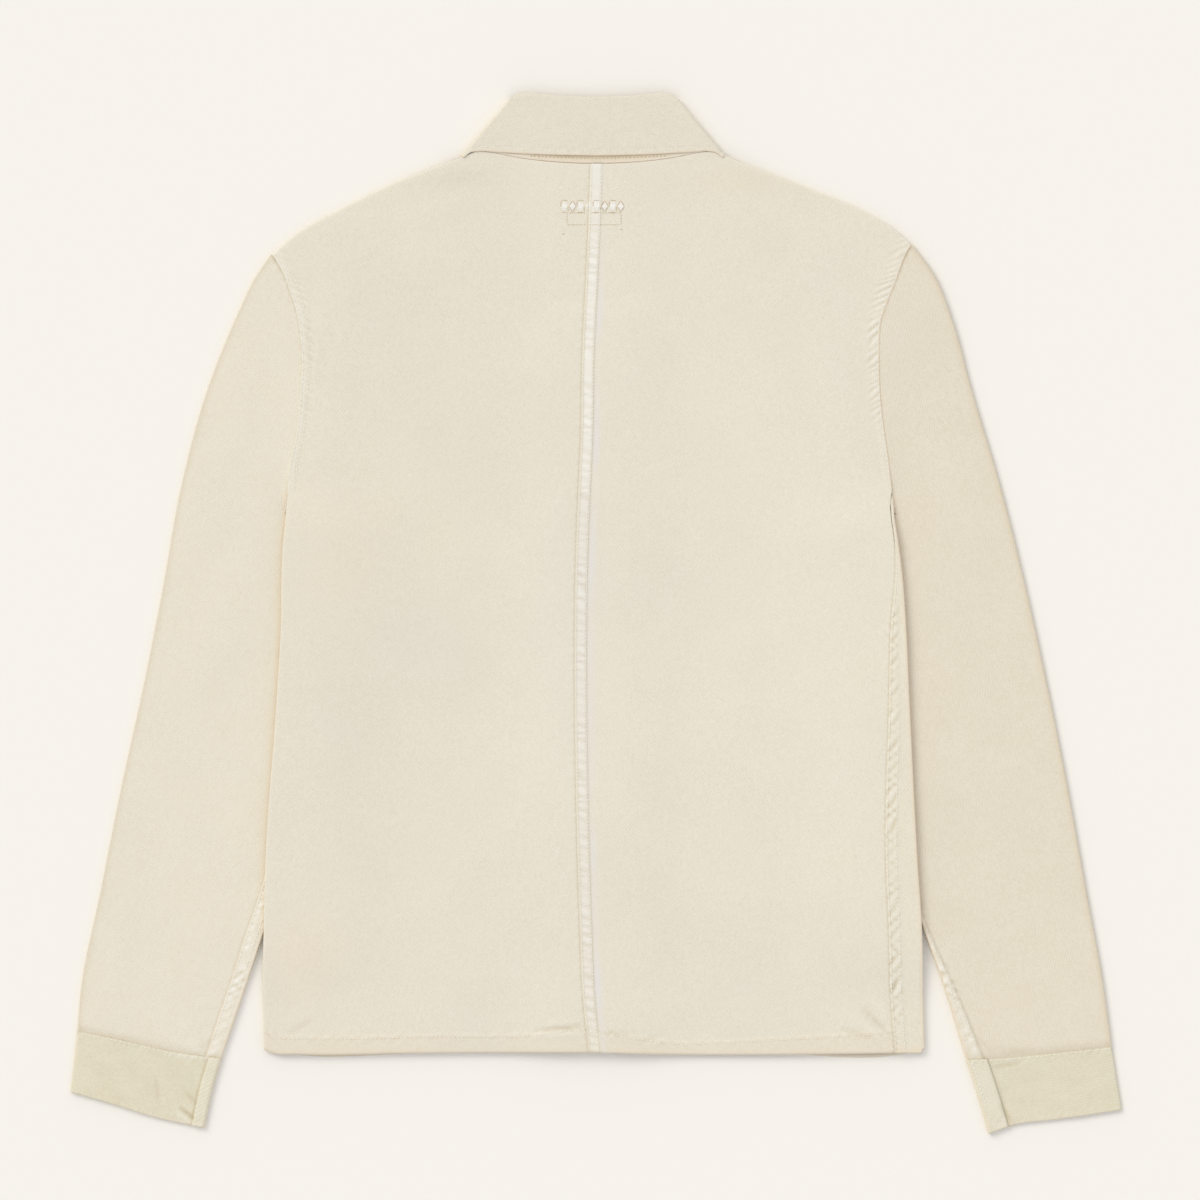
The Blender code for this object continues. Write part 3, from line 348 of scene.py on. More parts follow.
def tableLift(x, y):
    # height of the underside over the sleeves' inner edges, the collar's leaves and the buttons
    top, end = lifts["tuckTop"], lifts["tuckEnd"]
    along = smooth((top[0] - y) / top[1]) * smooth((y - end[0]) / end[1])
    tuck = lifts["tuck"] * along * smooth(1 - (fromEdges(x, y) - lifts["tuckLevel"])
                                          / lifts["tuckFade"])
    past = np.hypot(x - lifts["leafCentre"][0], y - lifts["leafCentre"][1]) - lifts["leafReach"]
    leaf = lifts["leaf"] * smooth(1 - past / lifts["leafFade"])
    button = lifts["button"] * smooth(1 - (np.abs(x - cut["centreX"]) - lifts["buttonLevel"])
                                      / lifts["buttonFade"])
    button = button * smooth((lifts["buttonTop"][0] - y) / lifts["buttonTop"][1])
    return np.maximum(np.maximum(tuck, leaf), button)


def overlapLift(x):
    past = x - cut["centreX"] - cut["overlap"] - lifts["overlapLevel"]
    return lifts["overlapRise"] * smooth(1 - past / lifts["overlapFade"])


def clothSwell(x, y):
    # the small unevenness of washed twill, alike across every seam
    return 0.16 * swell(x, y, 95.0, 11) + 0.07 * swell(x, y, 36.0, 12) + 0.03 * swell(x, y, 13.0, 13)


def backTop(x, y):
    # height of the back's outside
    room = lifts["centreRoom"] * smooth(1 - (np.abs(x - cut["centreX"]) - lifts["centreLevel"])
                                        / lifts["centreFade"])
    base = tableLift(x, y) + cut["bodyDepth"] + room
    return base + lengthwise(backFolds, x, y) + lengthwise(creases, x, y) + clothSwell(x, y)


# Cloth: a wall from a grid of points, with its tone and weave kept at each point

def placed(name, data):
    thing = bpy.data.objects.new(name, data)
    bpy.context.scene.collection.objects.link(thing)
    return thing


def clothPiece(name, points, thickness, material, fields=None, closed=False, flip=False,
               weave=None):
    rows, columns = points.shape[:2]
    index = np.arange(rows * columns).reshape(rows, columns)
    right = np.roll(index, -1, axis=1)
    if not closed:
        index, right = index[:, :-1], right[:, :-1]
    faces = np.stack([index[:-1], right[:-1], right[1:], index[1:]], -1).reshape(-1, 4)
    if flip:
        faces = faces[:, ::-1]
    mesh = bpy.data.meshes.new(name)
    mesh.from_pydata((points.reshape(-1, 3) * mm).tolist(), [], faces.tolist())
    for field, values in (fields or {}).items():
        filled = np.broadcast_to(values, (rows, columns)).astype(np.float32)
        mesh.attributes.new(field, "FLOAT", "POINT").data.foreach_set("value", filled.ravel())
    grain = points if weave is None else weave
    threads = mesh.attributes.new("weave", "FLOAT_VECTOR", "POINT")
    threads.data.foreach_set("vector", (grain * mm).astype(np.float32).ravel())
    mesh.materials.append(material)
    mesh.shade_smooth()
    mesh.validate()
    piece = placed(name, mesh)
    if thickness:
        wall = piece.modifiers.new("Cloth", "SOLIDIFY")
        wall.thickness, wall.offset = thickness * mm, -1.0
    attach(piece, "root")
    return piece


def turned(points, turn):
    # cloth coordinates of points, with the warp turned away from the body's by an angle
    c, s = math.cos(math.radians(turn)), math.sin(math.radians(turn))
    x, y = points[..., 0], points[..., 1]
    return np.stack([x * c + y * s, y * c - x * s, points[..., 2]], -1)


# Threads: every stitch is a short rounded length, sunk a little in the cloth

thread = {"length": 2.5, "pitch": 3.3, "width": 0.8, "rise": 0.2, "sides": 5, "sunk": 0.06,
          "flat": 0.8, "first": 0.6, "uneven": 0.15, "lengths": (0.9, 1.08),
          # share of the length, girth
          "rings": ((0.0, 0.25), (0.12, 0.8), (0.5, 1.0), (0.88, 0.8), (1.0, 0.25))}


def stitchMesh(name, rows, material, width=None):
    # rows are lists of (start, end, up) for each stitch, as arrays of points
    sidesOfThread, wide = thread["sides"], width or thread["width"]
    verts, faces = [], []
    rings = thread["rings"]
    turns = np.arange(sidesOfThread) * 2 * math.pi / sidesOfThread
    for starts, ends, ups in rows:
        for start, end, up in zip(starts, ends, ups):
            run = end - start
            sideways = np.cross(run, up)
            size = np.linalg.norm(sideways)
            if size < 1e-6:
                continue
            sideways = sideways / size
            base = len(verts)
            for share, girth in rings:
                arch = up * (math.sin(math.pi * share) * thread["rise"] - thread["sunk"])
                middle = start + run * share + arch
                for turn in turns:
                    way = sideways * math.cos(turn) + up * math.sin(turn) * thread["flat"]
                    verts.append(middle + girth * wide / 2 * way)
            for ring in range(len(rings) - 1):
                low, high = base + ring * sidesOfThread, base + (ring + 1) * sidesOfThread
                for i in range(sidesOfThread):
                    j = (i + 1) % sidesOfThread
                    faces.append((low + i, low + j, high + j, high + i))
            faces.append(tuple(base + i for i in reversed(range(sidesOfThread))))
            last = base + (len(rings) - 1) * sidesOfThread
            faces.append(tuple(last + i for i in range(sidesOfThread)))
    mesh = bpy.data.meshes.new(name)
    verts = np.array(verts)
    verts[:, 2] = np.maximum(verts[:, 2], 0.0)
    mesh.from_pydata((verts * mm).tolist(), [], faces)
    mesh.materials.append(material)
    mesh.shade_smooth()
    piece = placed(name, mesh)
    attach(piece, "root")
    return piece


def onCloth(piece, path, facing=1):
    # points of a plan path laid on a piece, from above, or from below where facing is -1
    found = []
    for x, y in path:
        start = (float(x) * mm, float(y) * mm, facing * 0.05)
        hit, place, _, _ = piece.ray_cast(start, (0, 0, -facing))
        if hit:
            found.append(np.array(place) / mm)
    return np.array(found)


def sewn(piece, path, pitch=None, length=None, facing=1, seed=1):
    # a row of stitches on a piece along a plan path
    points = onCloth(piece, path, facing)
    run = travelled(points)
    pitch, length = pitch or thread["pitch"], length or thread["length"]
    count = int((run[-1] - 1.0) / pitch)
    draw = np.random.default_rng(seed)
    shift = draw.uniform(-thread["uneven"], thread["uneven"], count)
    starts = thread["first"] + np.arange(count) * pitch + shift
    ends = starts + length * draw.uniform(*thread["lengths"], count)
    a, b = (np.stack([np.interp(at, run, points[:, i]) for i in range(3)], -1)
            for at in (starts, ends))
    up = np.zeros_like(a)
    up[:, 2] = facing
    return a, b, up


# Shader maths, written as plain expressions on sockets

class Wire:
    def __init__(self, tree, socket):
        self.tree, self.socket = tree, socket

    def node(self, kind, settings=None, **sockets):
        # any node: its settings first, then the values or links of its sockets
        made = self.tree.nodes.new(kind)
        for setting, value in (settings or {}).items():
            setattr(made, setting, value)
        for socket, value in sockets.items():
            target = made.inputs[int(socket[1:])] if socket[0] == "i" and socket[1:].isdigit() \
                else made.inputs[socket.replace("_", " ")]
            if isinstance(value, Wire):
                self.tree.links.new(value.socket, target)
            else:
                target.default_value = value
        return made

    def out(self, made, name=0):
        return Wire(self.tree, made.outputs[name])

    def math(self, operation, *values, clamp=False):
        settings = {"operation": operation, "use_clamp": clamp}
        return self.out(self.node("ShaderNodeMath", settings,
                                  **{f"i{i}": value for i, value in enumerate(values)}))

    def __add__(self, other):
        return self.math("ADD", self, other)

    __radd__ = __add__

    def __sub__(self, other):
        return self.math("SUBTRACT", self, other)

    def __rsub__(self, other):
        return self.math("SUBTRACT", other, self)

    def __mul__(self, other):
        return self.math("MULTIPLY", self, other)

    __rmul__ = __mul__

    def __truediv__(self, other):
        return self.math("DIVIDE", self, other)

    def clamped(self):
        return self.math("ADD", self, 0.0, clamp=True)

    def into(self, shader, name):
        self.tree.links.new(self.socket, shader.inputs[name])


def newMaterial(name, roughness, sheen=0.0):
    material = bpy.data.materials.new(name)
    material.use_nodes = True
    tree = material.node_tree
    shader = tree.nodes["Principled BSDF"]
    shader.inputs["Roughness"].default_value = roughness
    shader.inputs["Sheen Weight"].default_value = sheen
    shader.inputs["Specular IOR Level"].default_value = 0.25
    return material, shader, Wire(tree, shader.inputs["Base Color"])


def mixColour(wire, factor, a, b):
    made = wire.node("ShaderNodeMix", {"data_type": "RGBA", "clamp_factor": True}, i0=factor,
                     i6=a, i7=b)
    return wire.out(made, 2)


def srgb(r, g, b):
    # a colour as the eye sees it, from 0 to 255, for the shader
    def linear(c):
        c = c / 255
        return c / 12.92 if c <= 0.04045 else ((c + 0.055) / 1.055) ** 2.4
    return (linear(r), linear(g), linear(b), 1.0)


twillSettings = {
    "roughness": 0.88, "sheen": 0.1, "wale": 1.95, "lean": 56.0, "waleDepth": 0.0002,
    "cloudScale": 6.5, "blotchScale": 30.0, "slubScale": 420.0, "fleckScale": 1000.0,
    # light and dark also serve as painted highlight and painted shade, and warm and cool as a painted
    # warm glow, through the tone and warm attributes
    "light": (248, 244, 235), "dark": (182, 162, 126), "warm": (238, 214, 184),
    "cool": (227, 223, 223),
}


def twillMaterial(name, colour, cooler, warmer):
    # washed cotton twill: diagonal wales and uneven tone; the tone and warm attributes add the wash's
    # tints and also painted highlights, painted shade and a painted warm glow
    s = twillSettings
    material, shader, w = newMaterial(name, s["roughness"], s["sheen"])
    weave = w.out(w.node("ShaderNodeAttribute", {"attribute_name": "weave"}), "Vector")
    toneAt = w.out(w.node("ShaderNodeAttribute", {"attribute_name": "tone"}), "Fac")
    warmAt = w.out(w.node("ShaderNodeAttribute", {"attribute_name": "warm"}), "Fac")

    def noise(scale, detail, rough=0.5, stretch=None):
        at = weave
        if stretch:
            at = w.out(w.node("ShaderNodeVectorMath", {"operation": "MULTIPLY"}, i0=weave,
                              i1=stretch))
        return w.out(w.node("ShaderNodeTexNoise", {"noise_dimensions": "3D"}, Vector=at,
                            Scale=scale, Detail=detail, Roughness=rough), 0)

    split = w.node("ShaderNodeSeparateXYZ", None, Vector=weave)
    x, y = w.out(split, 0), w.out(split, 1)
    lean = math.radians(s["lean"])
    wobble = noise(170.0, 2.0) * 2.6
    phase = (x * math.sin(lean) - y * math.cos(lean)) * (2000 * math.pi / s["wale"]) + wobble
    wale = w.math("SINE", phase) * 0.5 + 0.5
    clear = (noise(22.0, 2.0, 0.6) * 3.0 - 0.9).clamped()
    slub = noise(s["slubScale"], 3.0, 0.6, stretch=(1.0, 0.6, 1.0))
    fleck = noise(s["fleckScale"], 3.0, 0.7)

    cloud = noise(s["cloudScale"], 3.0, 0.55)
    blotch = noise(s["blotchScale"], 4.0, 0.6)
    body = mixColour(w, (cloud * 2.6 - 0.8).clamped(), cooler, warmer)
    body = mixColour(w, 0.5, body, colour)
    body = mixColour(w, ((blotch * 2.0 - 0.72) * 0.12).clamped(), body, srgb(*s["light"]))
    grain = (wale - 0.5) * clear * 0.34 + (slub - 0.5) * 0.55 + (fleck - 0.5) * 1.5
    body = mixColour(w, (grain * -0.42 + 0.03).clamped(), body, srgb(*s["dark"]))
    body = mixColour(w, (grain * 0.5 + 0.03).clamped(), body, srgb(*s["light"]))
    # painted warm glow at rims and in shade, then painted highlights and painted shade from the tone
    # attribute, beside the wash's own tints
    body = mixColour(w, (warmAt * 0.8).clamped(), body, srgb(*s["warm"]))
    body = mixColour(w, (warmAt * -0.8).clamped(), body, srgb(*s["cool"]))
    body = mixColour(w, (toneAt * 0.9).clamped(), body, srgb(*s["light"]))
    body = mixColour(w, (toneAt * -0.8).clamped(), body, srgb(*s["dark"]))
    body.into(shader, "Base Color")

    height = wale * clear * 0.5 + slub * 0.4 + fleck * 0.3
    bump = w.node("ShaderNodeBump", None, Strength=0.5, Distance=s["waleDepth"], Height=height)
    w.out(bump).into(shader, "Normal")
    return material


def threadMaterial(name, colour, fray=0.25):
    # spun thread, with its twist as fine bands along the jacket
    material, shader, w = newMaterial(name, 0.75, 0.1)
    place = w.out(w.node("ShaderNodeTexCoord"), "Object")
    ply = w.out(w.node("ShaderNodeTexNoise", None, Vector=place, Scale=1400.0, Detail=2.0), 0)
    body = mixColour(w, ((ply - 0.5) * 1.6 * fray + 0.2).clamped(), colour, srgb(250, 247, 238))
    body = mixColour(w, ((0.5 - ply) * 2.0 * fray).clamped(), body, srgb(150, 132, 98))
    body.into(shader, "Base Color")
    bump = w.node("ShaderNodeBump", None, Strength=0.5, Distance=0.0002, Height=ply)
    w.out(bump).into(shader, "Normal")
    return material


def hornMaterial():
    # pale horn: cloudy bands, satin where it is worn
    material, shader, w = newMaterial("paleHorn", 0.32)
    place = w.out(w.node("ShaderNodeTexCoord"), "Object")
    band = w.out(w.node("ShaderNodeTexNoise", None, Vector=place, Scale=160.0, Detail=4.0,
                        Distortion=1.4), 0)
    fine = w.out(w.node("ShaderNodeTexNoise", None, Vector=place, Scale=900.0, Detail=3.0), 0)
    body = mixColour(w, (band * 2.2 - 0.6).clamped(), srgb(150, 116, 74), srgb(214, 190, 148))
    body = mixColour(w, ((fine - 0.5) * 0.8).clamped(), body, srgb(112, 82, 50))
    body.into(shader, "Base Color")
    rough = (fine - 0.5) * 0.3 + 0.34
    rough.into(shader, "Roughness")
    return material


finishes = {
    "back": twillMaterial("washedTwillBack", srgb(231, 224, 206), srgb(228, 221, 206),
                          srgb(235, 227, 205)),
    "front": twillMaterial("washedTwillFront", srgb(231, 224, 204), srgb(228, 221, 203),
                           srgb(235, 226, 203)),
    "sleeveLeft": twillMaterial("washedTwillLeftSleeve", srgb(233, 225, 206),
                                srgb(230, 222, 203), srgb(236, 226, 206)),
    "sleeveRight": twillMaterial("washedTwillRightSleeve", srgb(228, 219, 199),
                                 srgb(226, 218, 197), srgb(231, 220, 199)),
    "cuff": twillMaterial("washedTwillCuff", srgb(224, 216, 190), srgb(221, 214, 189),
                          srgb(227, 217, 191)),
    # the stand's colour is darker than the fall's: painted shade under the fall's edge
    "stand": twillMaterial("washedTwillStand", srgb(224, 214, 192), srgb(221, 212, 192),
                           srgb(227, 216, 192)),
    "fall": twillMaterial("washedTwillCollar", srgb(229, 221, 202), srgb(226, 219, 201),
                          srgb(232, 223, 202)),
    "thread": threadMaterial("seamThread", srgb(242, 236, 221)),
    "tanThread": threadMaterial("tanThread", srgb(196, 172, 132)),
    "satin": threadMaterial("satinThread", srgb(248, 245, 238), 0.1),
    "button": hornMaterial(),
}
print("the twill is dyed")


# The two halves of the back

back = {"height": 677.0, "hemTop": 17.2, "upTo": 0.9945, "hemRowsTo": 17.5, "rowsFrom": 17.0,
        "rowPitch": 2.1, "columnPitch": 3.6, "bandPitch": 1.0, "fineWidth": 13.0, "turns": 7,
        "lapUnder": 4.0, "lapDrop": 0.9,
        "puckerRise": 0.34, "seamStitches": (1.5, 9.0), "armholeStitches": (1.3, 7.2),
        # start, rise, end, fall
        "between": (1.6, 1.6, 9.4, 1.8), "lap": (0.4, 0.5, 10.6, 0.8),
        "strip": (9.6, 1.5, 17.5, 5.0), "armholeRim": (0.3, 1.2, 15.0, 6.5),
        "worn": (60.0, 60.0, 300.0, 40.0),
        # pitch, slant, reach, seed
        "centrePucker": (6.9, 0.3, 30.0, 21), "besidePucker": (6.9, 0.4, 4.0, 21),
        "armholePucker": (5.6, 0.5, 30.0, 31), "sidePucker": (5.4, -0.7, 4.0, 41),
        "hemPucker": (6.4, 0.9, 5.0, 51)}


def foldInsets(turns):
    # points of a quarter fold: the angle round it and the inset of the same point where flat
    angles = np.linspace(90, 0, turns)
    return [(math.radians(a), cut["foldRadius"] * a / 90) for a in angles]


def sideFold(v):
    below = 1 - v / cut["sidePart"]
    return smooth(below / 0.02), smooth((0.07 - below) / 0.04)


def shoulderFold(u, neckPart):
    beyond = u - neckPart
    return smooth(beyond / 0.06), smooth((0.14 - beyond) / 0.08)


def squared(value):
    # pressed folds are squarer than half rounds
    return max(value, 0.0) ** cut["foldPower"]


def foldPoint(angle, flat, weight, parted):
    # inset from the edge and drop below the cloth of a point of a quarter fold
    radius = cut["foldRadius"]
    inset = mix(flat, radius - radius * squared(math.cos(angle)), weight)
    rise = max(radius * squared(math.sin(angle)), cut["gap"] / 2)
    rise = rise + (parted * 0.6 if angle < 0.7 else 0.0)
    return inset, radius - mix(radius, rise, weight)


def sideTurns(shape, grid, guess, turns, folded, parted):
    # more columns round the side fold, and how far they turn away from the cloth
    columns, depths = [grid], [np.zeros_like(grid)]
    for angle, flat in foldInsets(turns)[1:]:
        inset, depth = foldPoint(angle, flat, folded, parted)
        columns.append((1 - inset / shape.farScale(guess))[:, None])
        depths.append(depth[:, None])
    return np.hstack(columns), np.hstack(depths)


def rowPlan(settings, insets, count):
    # rows from the hem up: close ones in its tunnel, even ones, and those round the shoulder fold
    height = settings["height"]
    rows = [("inset", inset) for inset in insets]
    rows += [("share", share) for share in np.linspace(0, 1, count + 1)[1:]]
    rows += [("turn", fold) for fold in foldInsets(settings["turns"])]
    guess = np.array([value / height if kind == "inset"
                      else mix(settings["hemTop"] / height, settings["upTo"], value)
                      if kind == "share" else 1 - value[1] / height for kind, value in rows])
    return rows, guess


def rowShares(settings, shape, rows, u, neckPart):
    # every point's share v, and how far it turns away from the cloth round the shoulder fold
    folded, parted = shoulderFold(u, neckPart)
    v, depth = np.zeros_like(u), np.zeros_like(u)
    for i, (kind, value) in enumerate(rows):
        if kind == "share":
            v[i] = mix(settings["hemTop"] / shape.hemScale(u[i]), settings["upTo"], value)
        elif kind == "inset":
            v[i] = value / shape.hemScale(u[i])
        else:
            inset, depth[i] = foldPoint(*value, folded[i], parted[i])
            v[i] = 1 - inset / shape.topScale(u[i])
    return v, depth


def turnedUnder(off, width, depth):
    # how far the cloth drops at an edge that is turned under
    turn = np.clip(1 - off / width, 0, 1)
    return depth * (1 - np.sqrt(1 - turn ** 2 * 0.98))


def backShape(side):
    part = lines[side]
    gap = cut["gap"] / 2 * sides[side]
    outer = part["edge"] if side == "left" else moved(part["sideSeam"], -cut["gap"] / 2)
    return Layout(spanned(part["hem"], joined(part["neckBack"], part["shoulder"], cut["neckPart"]),
                          moved(part["centreBack"], gap),
                          joined(outer, armholeLine(side, -1), cut["sidePart"])))


def backSurface(side, shape):
    # the outside of one half at shares u and v, with its bands, puckers and tone
    def at(u, v):
        u, v = spread(u, v)
        place = shape.at(u, v)
        x, y = place[..., 0], place[..., 1]
        near, far = u * shape.nearScale(v), (1 - u) * shape.farScale(v)
        hem = v * shape.hemScale(u)
        neck = (1 - v) * shape.topScale(u)
        z = backTop(x, y)
        armhole = smooth((v - cut["sidePart"] + 0.01) / 0.02)
        onHem = smooth((np.interp(x, *cut["hemStitch"]) + 3.0 - hem) / 2.6)
        onArmhole = armhole * smooth((cut["armholeBand"] + 0.6 - far) / 3.0)
        onCentre = smooth((cut["seamBand"] + 0.6 - near) / 2.6) * (side == "right")
        layers = np.maximum(np.maximum(onHem, onArmhole * 0.5), onCentre)
        z = z + cut["bandRise"] * layers
        tone, warm = np.zeros_like(x), np.zeros_like(x)

        # the felled centre seam: puckers between its two rows of stitches, their ridges whiter and
        # hollows darker, partly wear and partly painted highlight and shade, whiter higher up, and a
        # smoother bluish strip beside it
        down = smooth((318 - y) / 60)
        worn = within(y, *back["worn"])
        if side == "right":
            between = within(near, *back["between"])
            run = pucker(y, near - 5.0, *back["centrePucker"]) * between
            z = z + back["puckerRise"] * run * mix(0.3, 1.0, down)
            tone = tone + run * 0.5 * mix(0.3, 1.0, down) + between * (0.2 + 0.34 * worn)
            tone = tone + 0.3 * within(near, *back["lap"]) * (1 - down)
            strip = within(near, *back["strip"]) * down
            warm = warm - 0.55 * strip * (0.7 + 0.5 * swell(y, 0.0, 70.0, 25)) - 0.2 * between
            # a painted shadow line where the lap's edge stands over the other half
            tone = tone + 0.06 * strip - 0.2 * fading(near - 0.1, 0.6)
            # painted shade along the grooves of the stitches
            for inset in back["seamStitches"]:
                tone = tone - 0.26 * fading(near - inset, 0.6)
        else:
            run = pucker(y, near + 1.0, *back["besidePucker"])
            z = z + 0.35 * back["puckerRise"] * run * down
            # pucker tone partly painted highlight and shade, and a painted shadow line where this half
            # runs in under the lap
            tone = tone + 0.12 * run - 0.2 * fading(near - 0.1, 0.7)
        # armhole: puckers on the body's side, their tone partly painted highlight and shade
        pull = (0.55 if side == "left" else 1.0) * armhole
        band = within(far, *back["armholeRim"])
        run = pucker(y, far - 4.0, *back["armholePucker"]) * band
        tired = np.clip(0.75 + 0.3 * swell(y, 0.0, 60.0, 35), 0.3, 1.0) * smooth((y - 128.0) / 30.0)
        z = z + 0.55 * run * pull * tired
        tone = tone + 0.75 * run * pull * tired + (0.14 if side == "left" else 0.0) * onArmhole
        tone = tone + 0.1 * band * pull * tired
        if side == "right":
            # a painted shadow line along the right armhole seam, warmed to the brown of shade in the
            # cloth
            crisp = smooth((y - 252.0) / 16.0) + 0.6 * smooth((200.0 - y) / 20.0)
            armholeShadowLine = armhole * fading(far - 0.1, 0.7)
            tone = tone - 0.5 * crisp * armholeShadowLine
            warm = warm + 0.8 * armholeShadowLine
        # side seam on the right: puckers, and a painted shadow line along its edge
        if side == "right":
            below = 1 - armhole
            run = pucker(y, far + 1.0, *back["sidePucker"]) * below
            z = z + 0.16 * run
            tone = tone + 0.12 * run - 0.26 * below * fading(far - 0.2, 0.6)
        # hem: a sewn tunnel with small twists, painted shade along its row of stitches, and a painted
        # warm glow at the fold where light comes through the cloth
        hemStitch = np.interp(x, *cut["hemStitch"])
        run = pucker(x, hem - hemStitch, *back["hemPucker"])
        z = z + 0.16 * run - 0.2 * fading(hem - hemStitch, 0.8)
        tone = tone + 0.12 * run - 0.22 * fading(hem - hemStitch, 0.6) - 0.06 * onHem
        warm = warm + 0.3 * fading(hem, 3.0) + 0.1 * onHem
        # a painted highlight along the neck edge, and painted warm shade under the collar's fall
        tone = tone + 0.16 * fading(neck, 2.0)
        warm = warm + 0.5 * fading(neck, 1.0) * (np.abs(x) < 92.0)
        # creases: painted shade in their troughs and painted highlight on their ridges; stains follow the
        # wash, with painted shade and light over the shoulder folds
        tone = tone + 0.55 * lengthwise(creases, x, y)
        tone = tone + washAndShade(x, y, 0)
        warm = warm + washAndShade(x, y, 1)
        return np.stack([x, y, z], -1), tone, warm
    return at


def columnShares(shape, v, farEnd):
    # shares across the back at each row: fine beside both seams, even between them
    width = float(reach(shape.at(0.0, 0.5), shape.at(1.0, 0.5)))
    fine, pitch = back["fineWidth"], back["bandPitch"]
    nearShare = np.arange(0, fine + 1e-6, pitch)[None, :] / shape.nearScale(v)[:, None]
    farShare = 1 - np.arange(fine, farEnd - 1e-6, -pitch)[None, :] / shape.farScale(v)[:, None]
    count = int((width - 2 * fine) / back["columnPitch"])
    share = np.linspace(0, 1, count + 2)[None, 1:-1]
    middle = nearShare[:, -1:] * (1 - share) + farShare[:, :1] * share
    return np.hstack([nearShare, middle, farShare])


def backHalf(side):
    shape = backShape(side)
    surface = backSurface(side, shape)
    radius = cut["foldRadius"]
    count = int((back["height"] - back["rowsFrom"] - radius) / back["rowPitch"])
    rows, guess = rowPlan(back, np.arange(0, back["hemRowsTo"], back["bandPitch"]), count)
    folded, parted = sideFold(guess)
    if side == "right":
        folded, parted = folded * 0, parted * 0
    grid = columnShares(shape, guess, radius)
    u, drop = sideTurns(shape, grid, guess, back["turns"], folded, parted)
    v, depth = rowShares(back, shape, rows, u, cut["neckPart"])
    points, tone, warm = surface(u, v)
    # edges that are turned under: the hem, and the lap of the centre seam
    drop = drop + depth + turnedUnder(v * shape.hemScale(u), 1.6, 1.3)
    if side == "right":
        drop = drop + turnedUnder(u * shape.nearScale(v), 1.1, 0.9)
    points[..., 2] -= drop
    if side == "left":
        # a strip that runs on under the lap
        under = points[:, :1].copy()
        under[..., 0] += back["lapUnder"]
        under[..., 2] -= back["lapDrop"]
        points = np.concatenate([under, points], axis=1)
        tone, warm = (np.concatenate([f[:, :1], f], axis=1) for f in (tone, warm))
    else:
        # a strip that runs on under the side seam, as far as the right edge leaves room
        under = points[:, -1:].copy()
        room = np.interp(points[:, -1, 1], [row[0] for row in cut["body"]],
                         [row[4] - row[3] for row in cut["body"]])[:, None]
        below = (1 - smooth((guess - cut["sidePart"]) / 0.01))[:, None]
        under[..., 0] += np.clip(room - 2.2, 0.0, back["lapUnder"]) * below + 0.3 * (1 - below)
        under[..., 2] -= back["lapDrop"] * below + 0.5
        deep = under.copy()
        deep[..., 2] -= 2.4 * below * smooth((5.0 - room) / 2.0)
        points = np.concatenate([points, under, deep], axis=1)
        tone, warm = (np.concatenate([f, f[:, -1:], f[:, -1:]], axis=1) for f in (tone, warm))
    piece = clothPiece("backHalf" + side.capitalize(), points, cut["shell"], finishes["back"],
                       {"tone": tone, "warm": warm}, flip=side == "left")
    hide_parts("back_" + side)
    return piece, shape


backPieces = {side: backHalf(side) for side in sides}
print("the back is laid out")


# The two fronts, under the back; the right one goes on round the right edge to its side seam

front = {"height": 640.0, "hemTop": 17.0, "upTo": 0.9935, "hemRowsTo": 16.0, "hemRowPitch": 1.6,
         "rowsFrom": 20.0, "rowPitch": 3.4, "columnPitch": 5.2, "flatWidth": 220.0, "turns": 7,
         "placketWidth": 34.0, "placketPitch": 1.7, "aroundSteps": 12, "topSteps": 26,
         "flatStep": 0.2, "placketStitches": (2.0, 31.0), "hemStitches": 12.2,
         "aroundStitches": (1.6, 8.4), "puckerRise": 0.45,
         "placketPucker": (7.0, 0.2, 18.0, 61), "hemPucker": (6.4, 0.9, 6.0, 62),
         "sidePucker": (5.4, 0.6, 9.0, 71)}


def frontShape(side):
    part, sign = lines[side], sides[side]
    centreX = cut["centreX"] - sign * cut["overlap"]
    end = cut["hemLeft"][-1] if side == "left" else cut["hemRightEdge"]
    hemY = cut["hemLeft"][0][1]
    hem = SeamLine([(centreX, hemY), (sign * 130.0, -333.6), (sign * 236.0, -333.6), end])
    neckEnd = part["neckFront"](0.0)
    centre = SeamLine([(centreX, hemY), tuple(neckEnd)])
    top = joined(part["neckFront"], part["shoulder"], cut["frontNeckPart"])
    return Layout(spanned(hem, top, centre, joined(part["edge"], armholeLine(side, -1),
                                                   cut["sidePart"])))


def frontSurface(side, shape):
    # the outside of a front, which lies on the table
    def at(u, v):
        u, v = spread(u, v)
        place = shape.at(u, v)
        x, y = place[..., 0], place[..., 1]
        near, hem = u * shape.nearScale(v), v * shape.hemScale(u)
        z = tableLift(x, y) + (overlapLift(x) if side == "right" else 0.0)
        rowDips = fading(hem - front["hemStitches"], 1.2)
        for inset in front["placketStitches"]:
            rowDips = rowDips + fading(near - inset, 1.2)
        run = pucker(y, near - 16.0, *front["placketPucker"])
        run = run + pucker(x, hem - 12.0, *front["hemPucker"])
        z = z + 0.16 * rowDips + 0.05 * (run + 1.5)
        # painted shade in the dips of the stitches, pucker tone partly painted highlight and shade, and a
        # painted warm glow at the hem's fold
        tone = 0.16 * run - 0.12 * rowDips + 0.1 * smooth((33.0 - near) / 2.0)
        warm = 0.5 * fading(hem, 3.2)
        return np.stack([x, y, z], -1), tone, warm
    return at


def aroundPath():
    # headings of the steps round the edge, their length and how far out they reach
    t = (np.arange(front["aroundSteps"]) + 0.5) / front["aroundSteps"]
    headings = math.pi / 2 * (smooth((t - 0.06) / 0.28) + smooth((t - 0.66) / 0.28))
    chord = 2 * cut["foldRadius"] / np.sin(headings).sum()
    return headings, chord, np.cumsum(np.cos(headings)).max() * chord


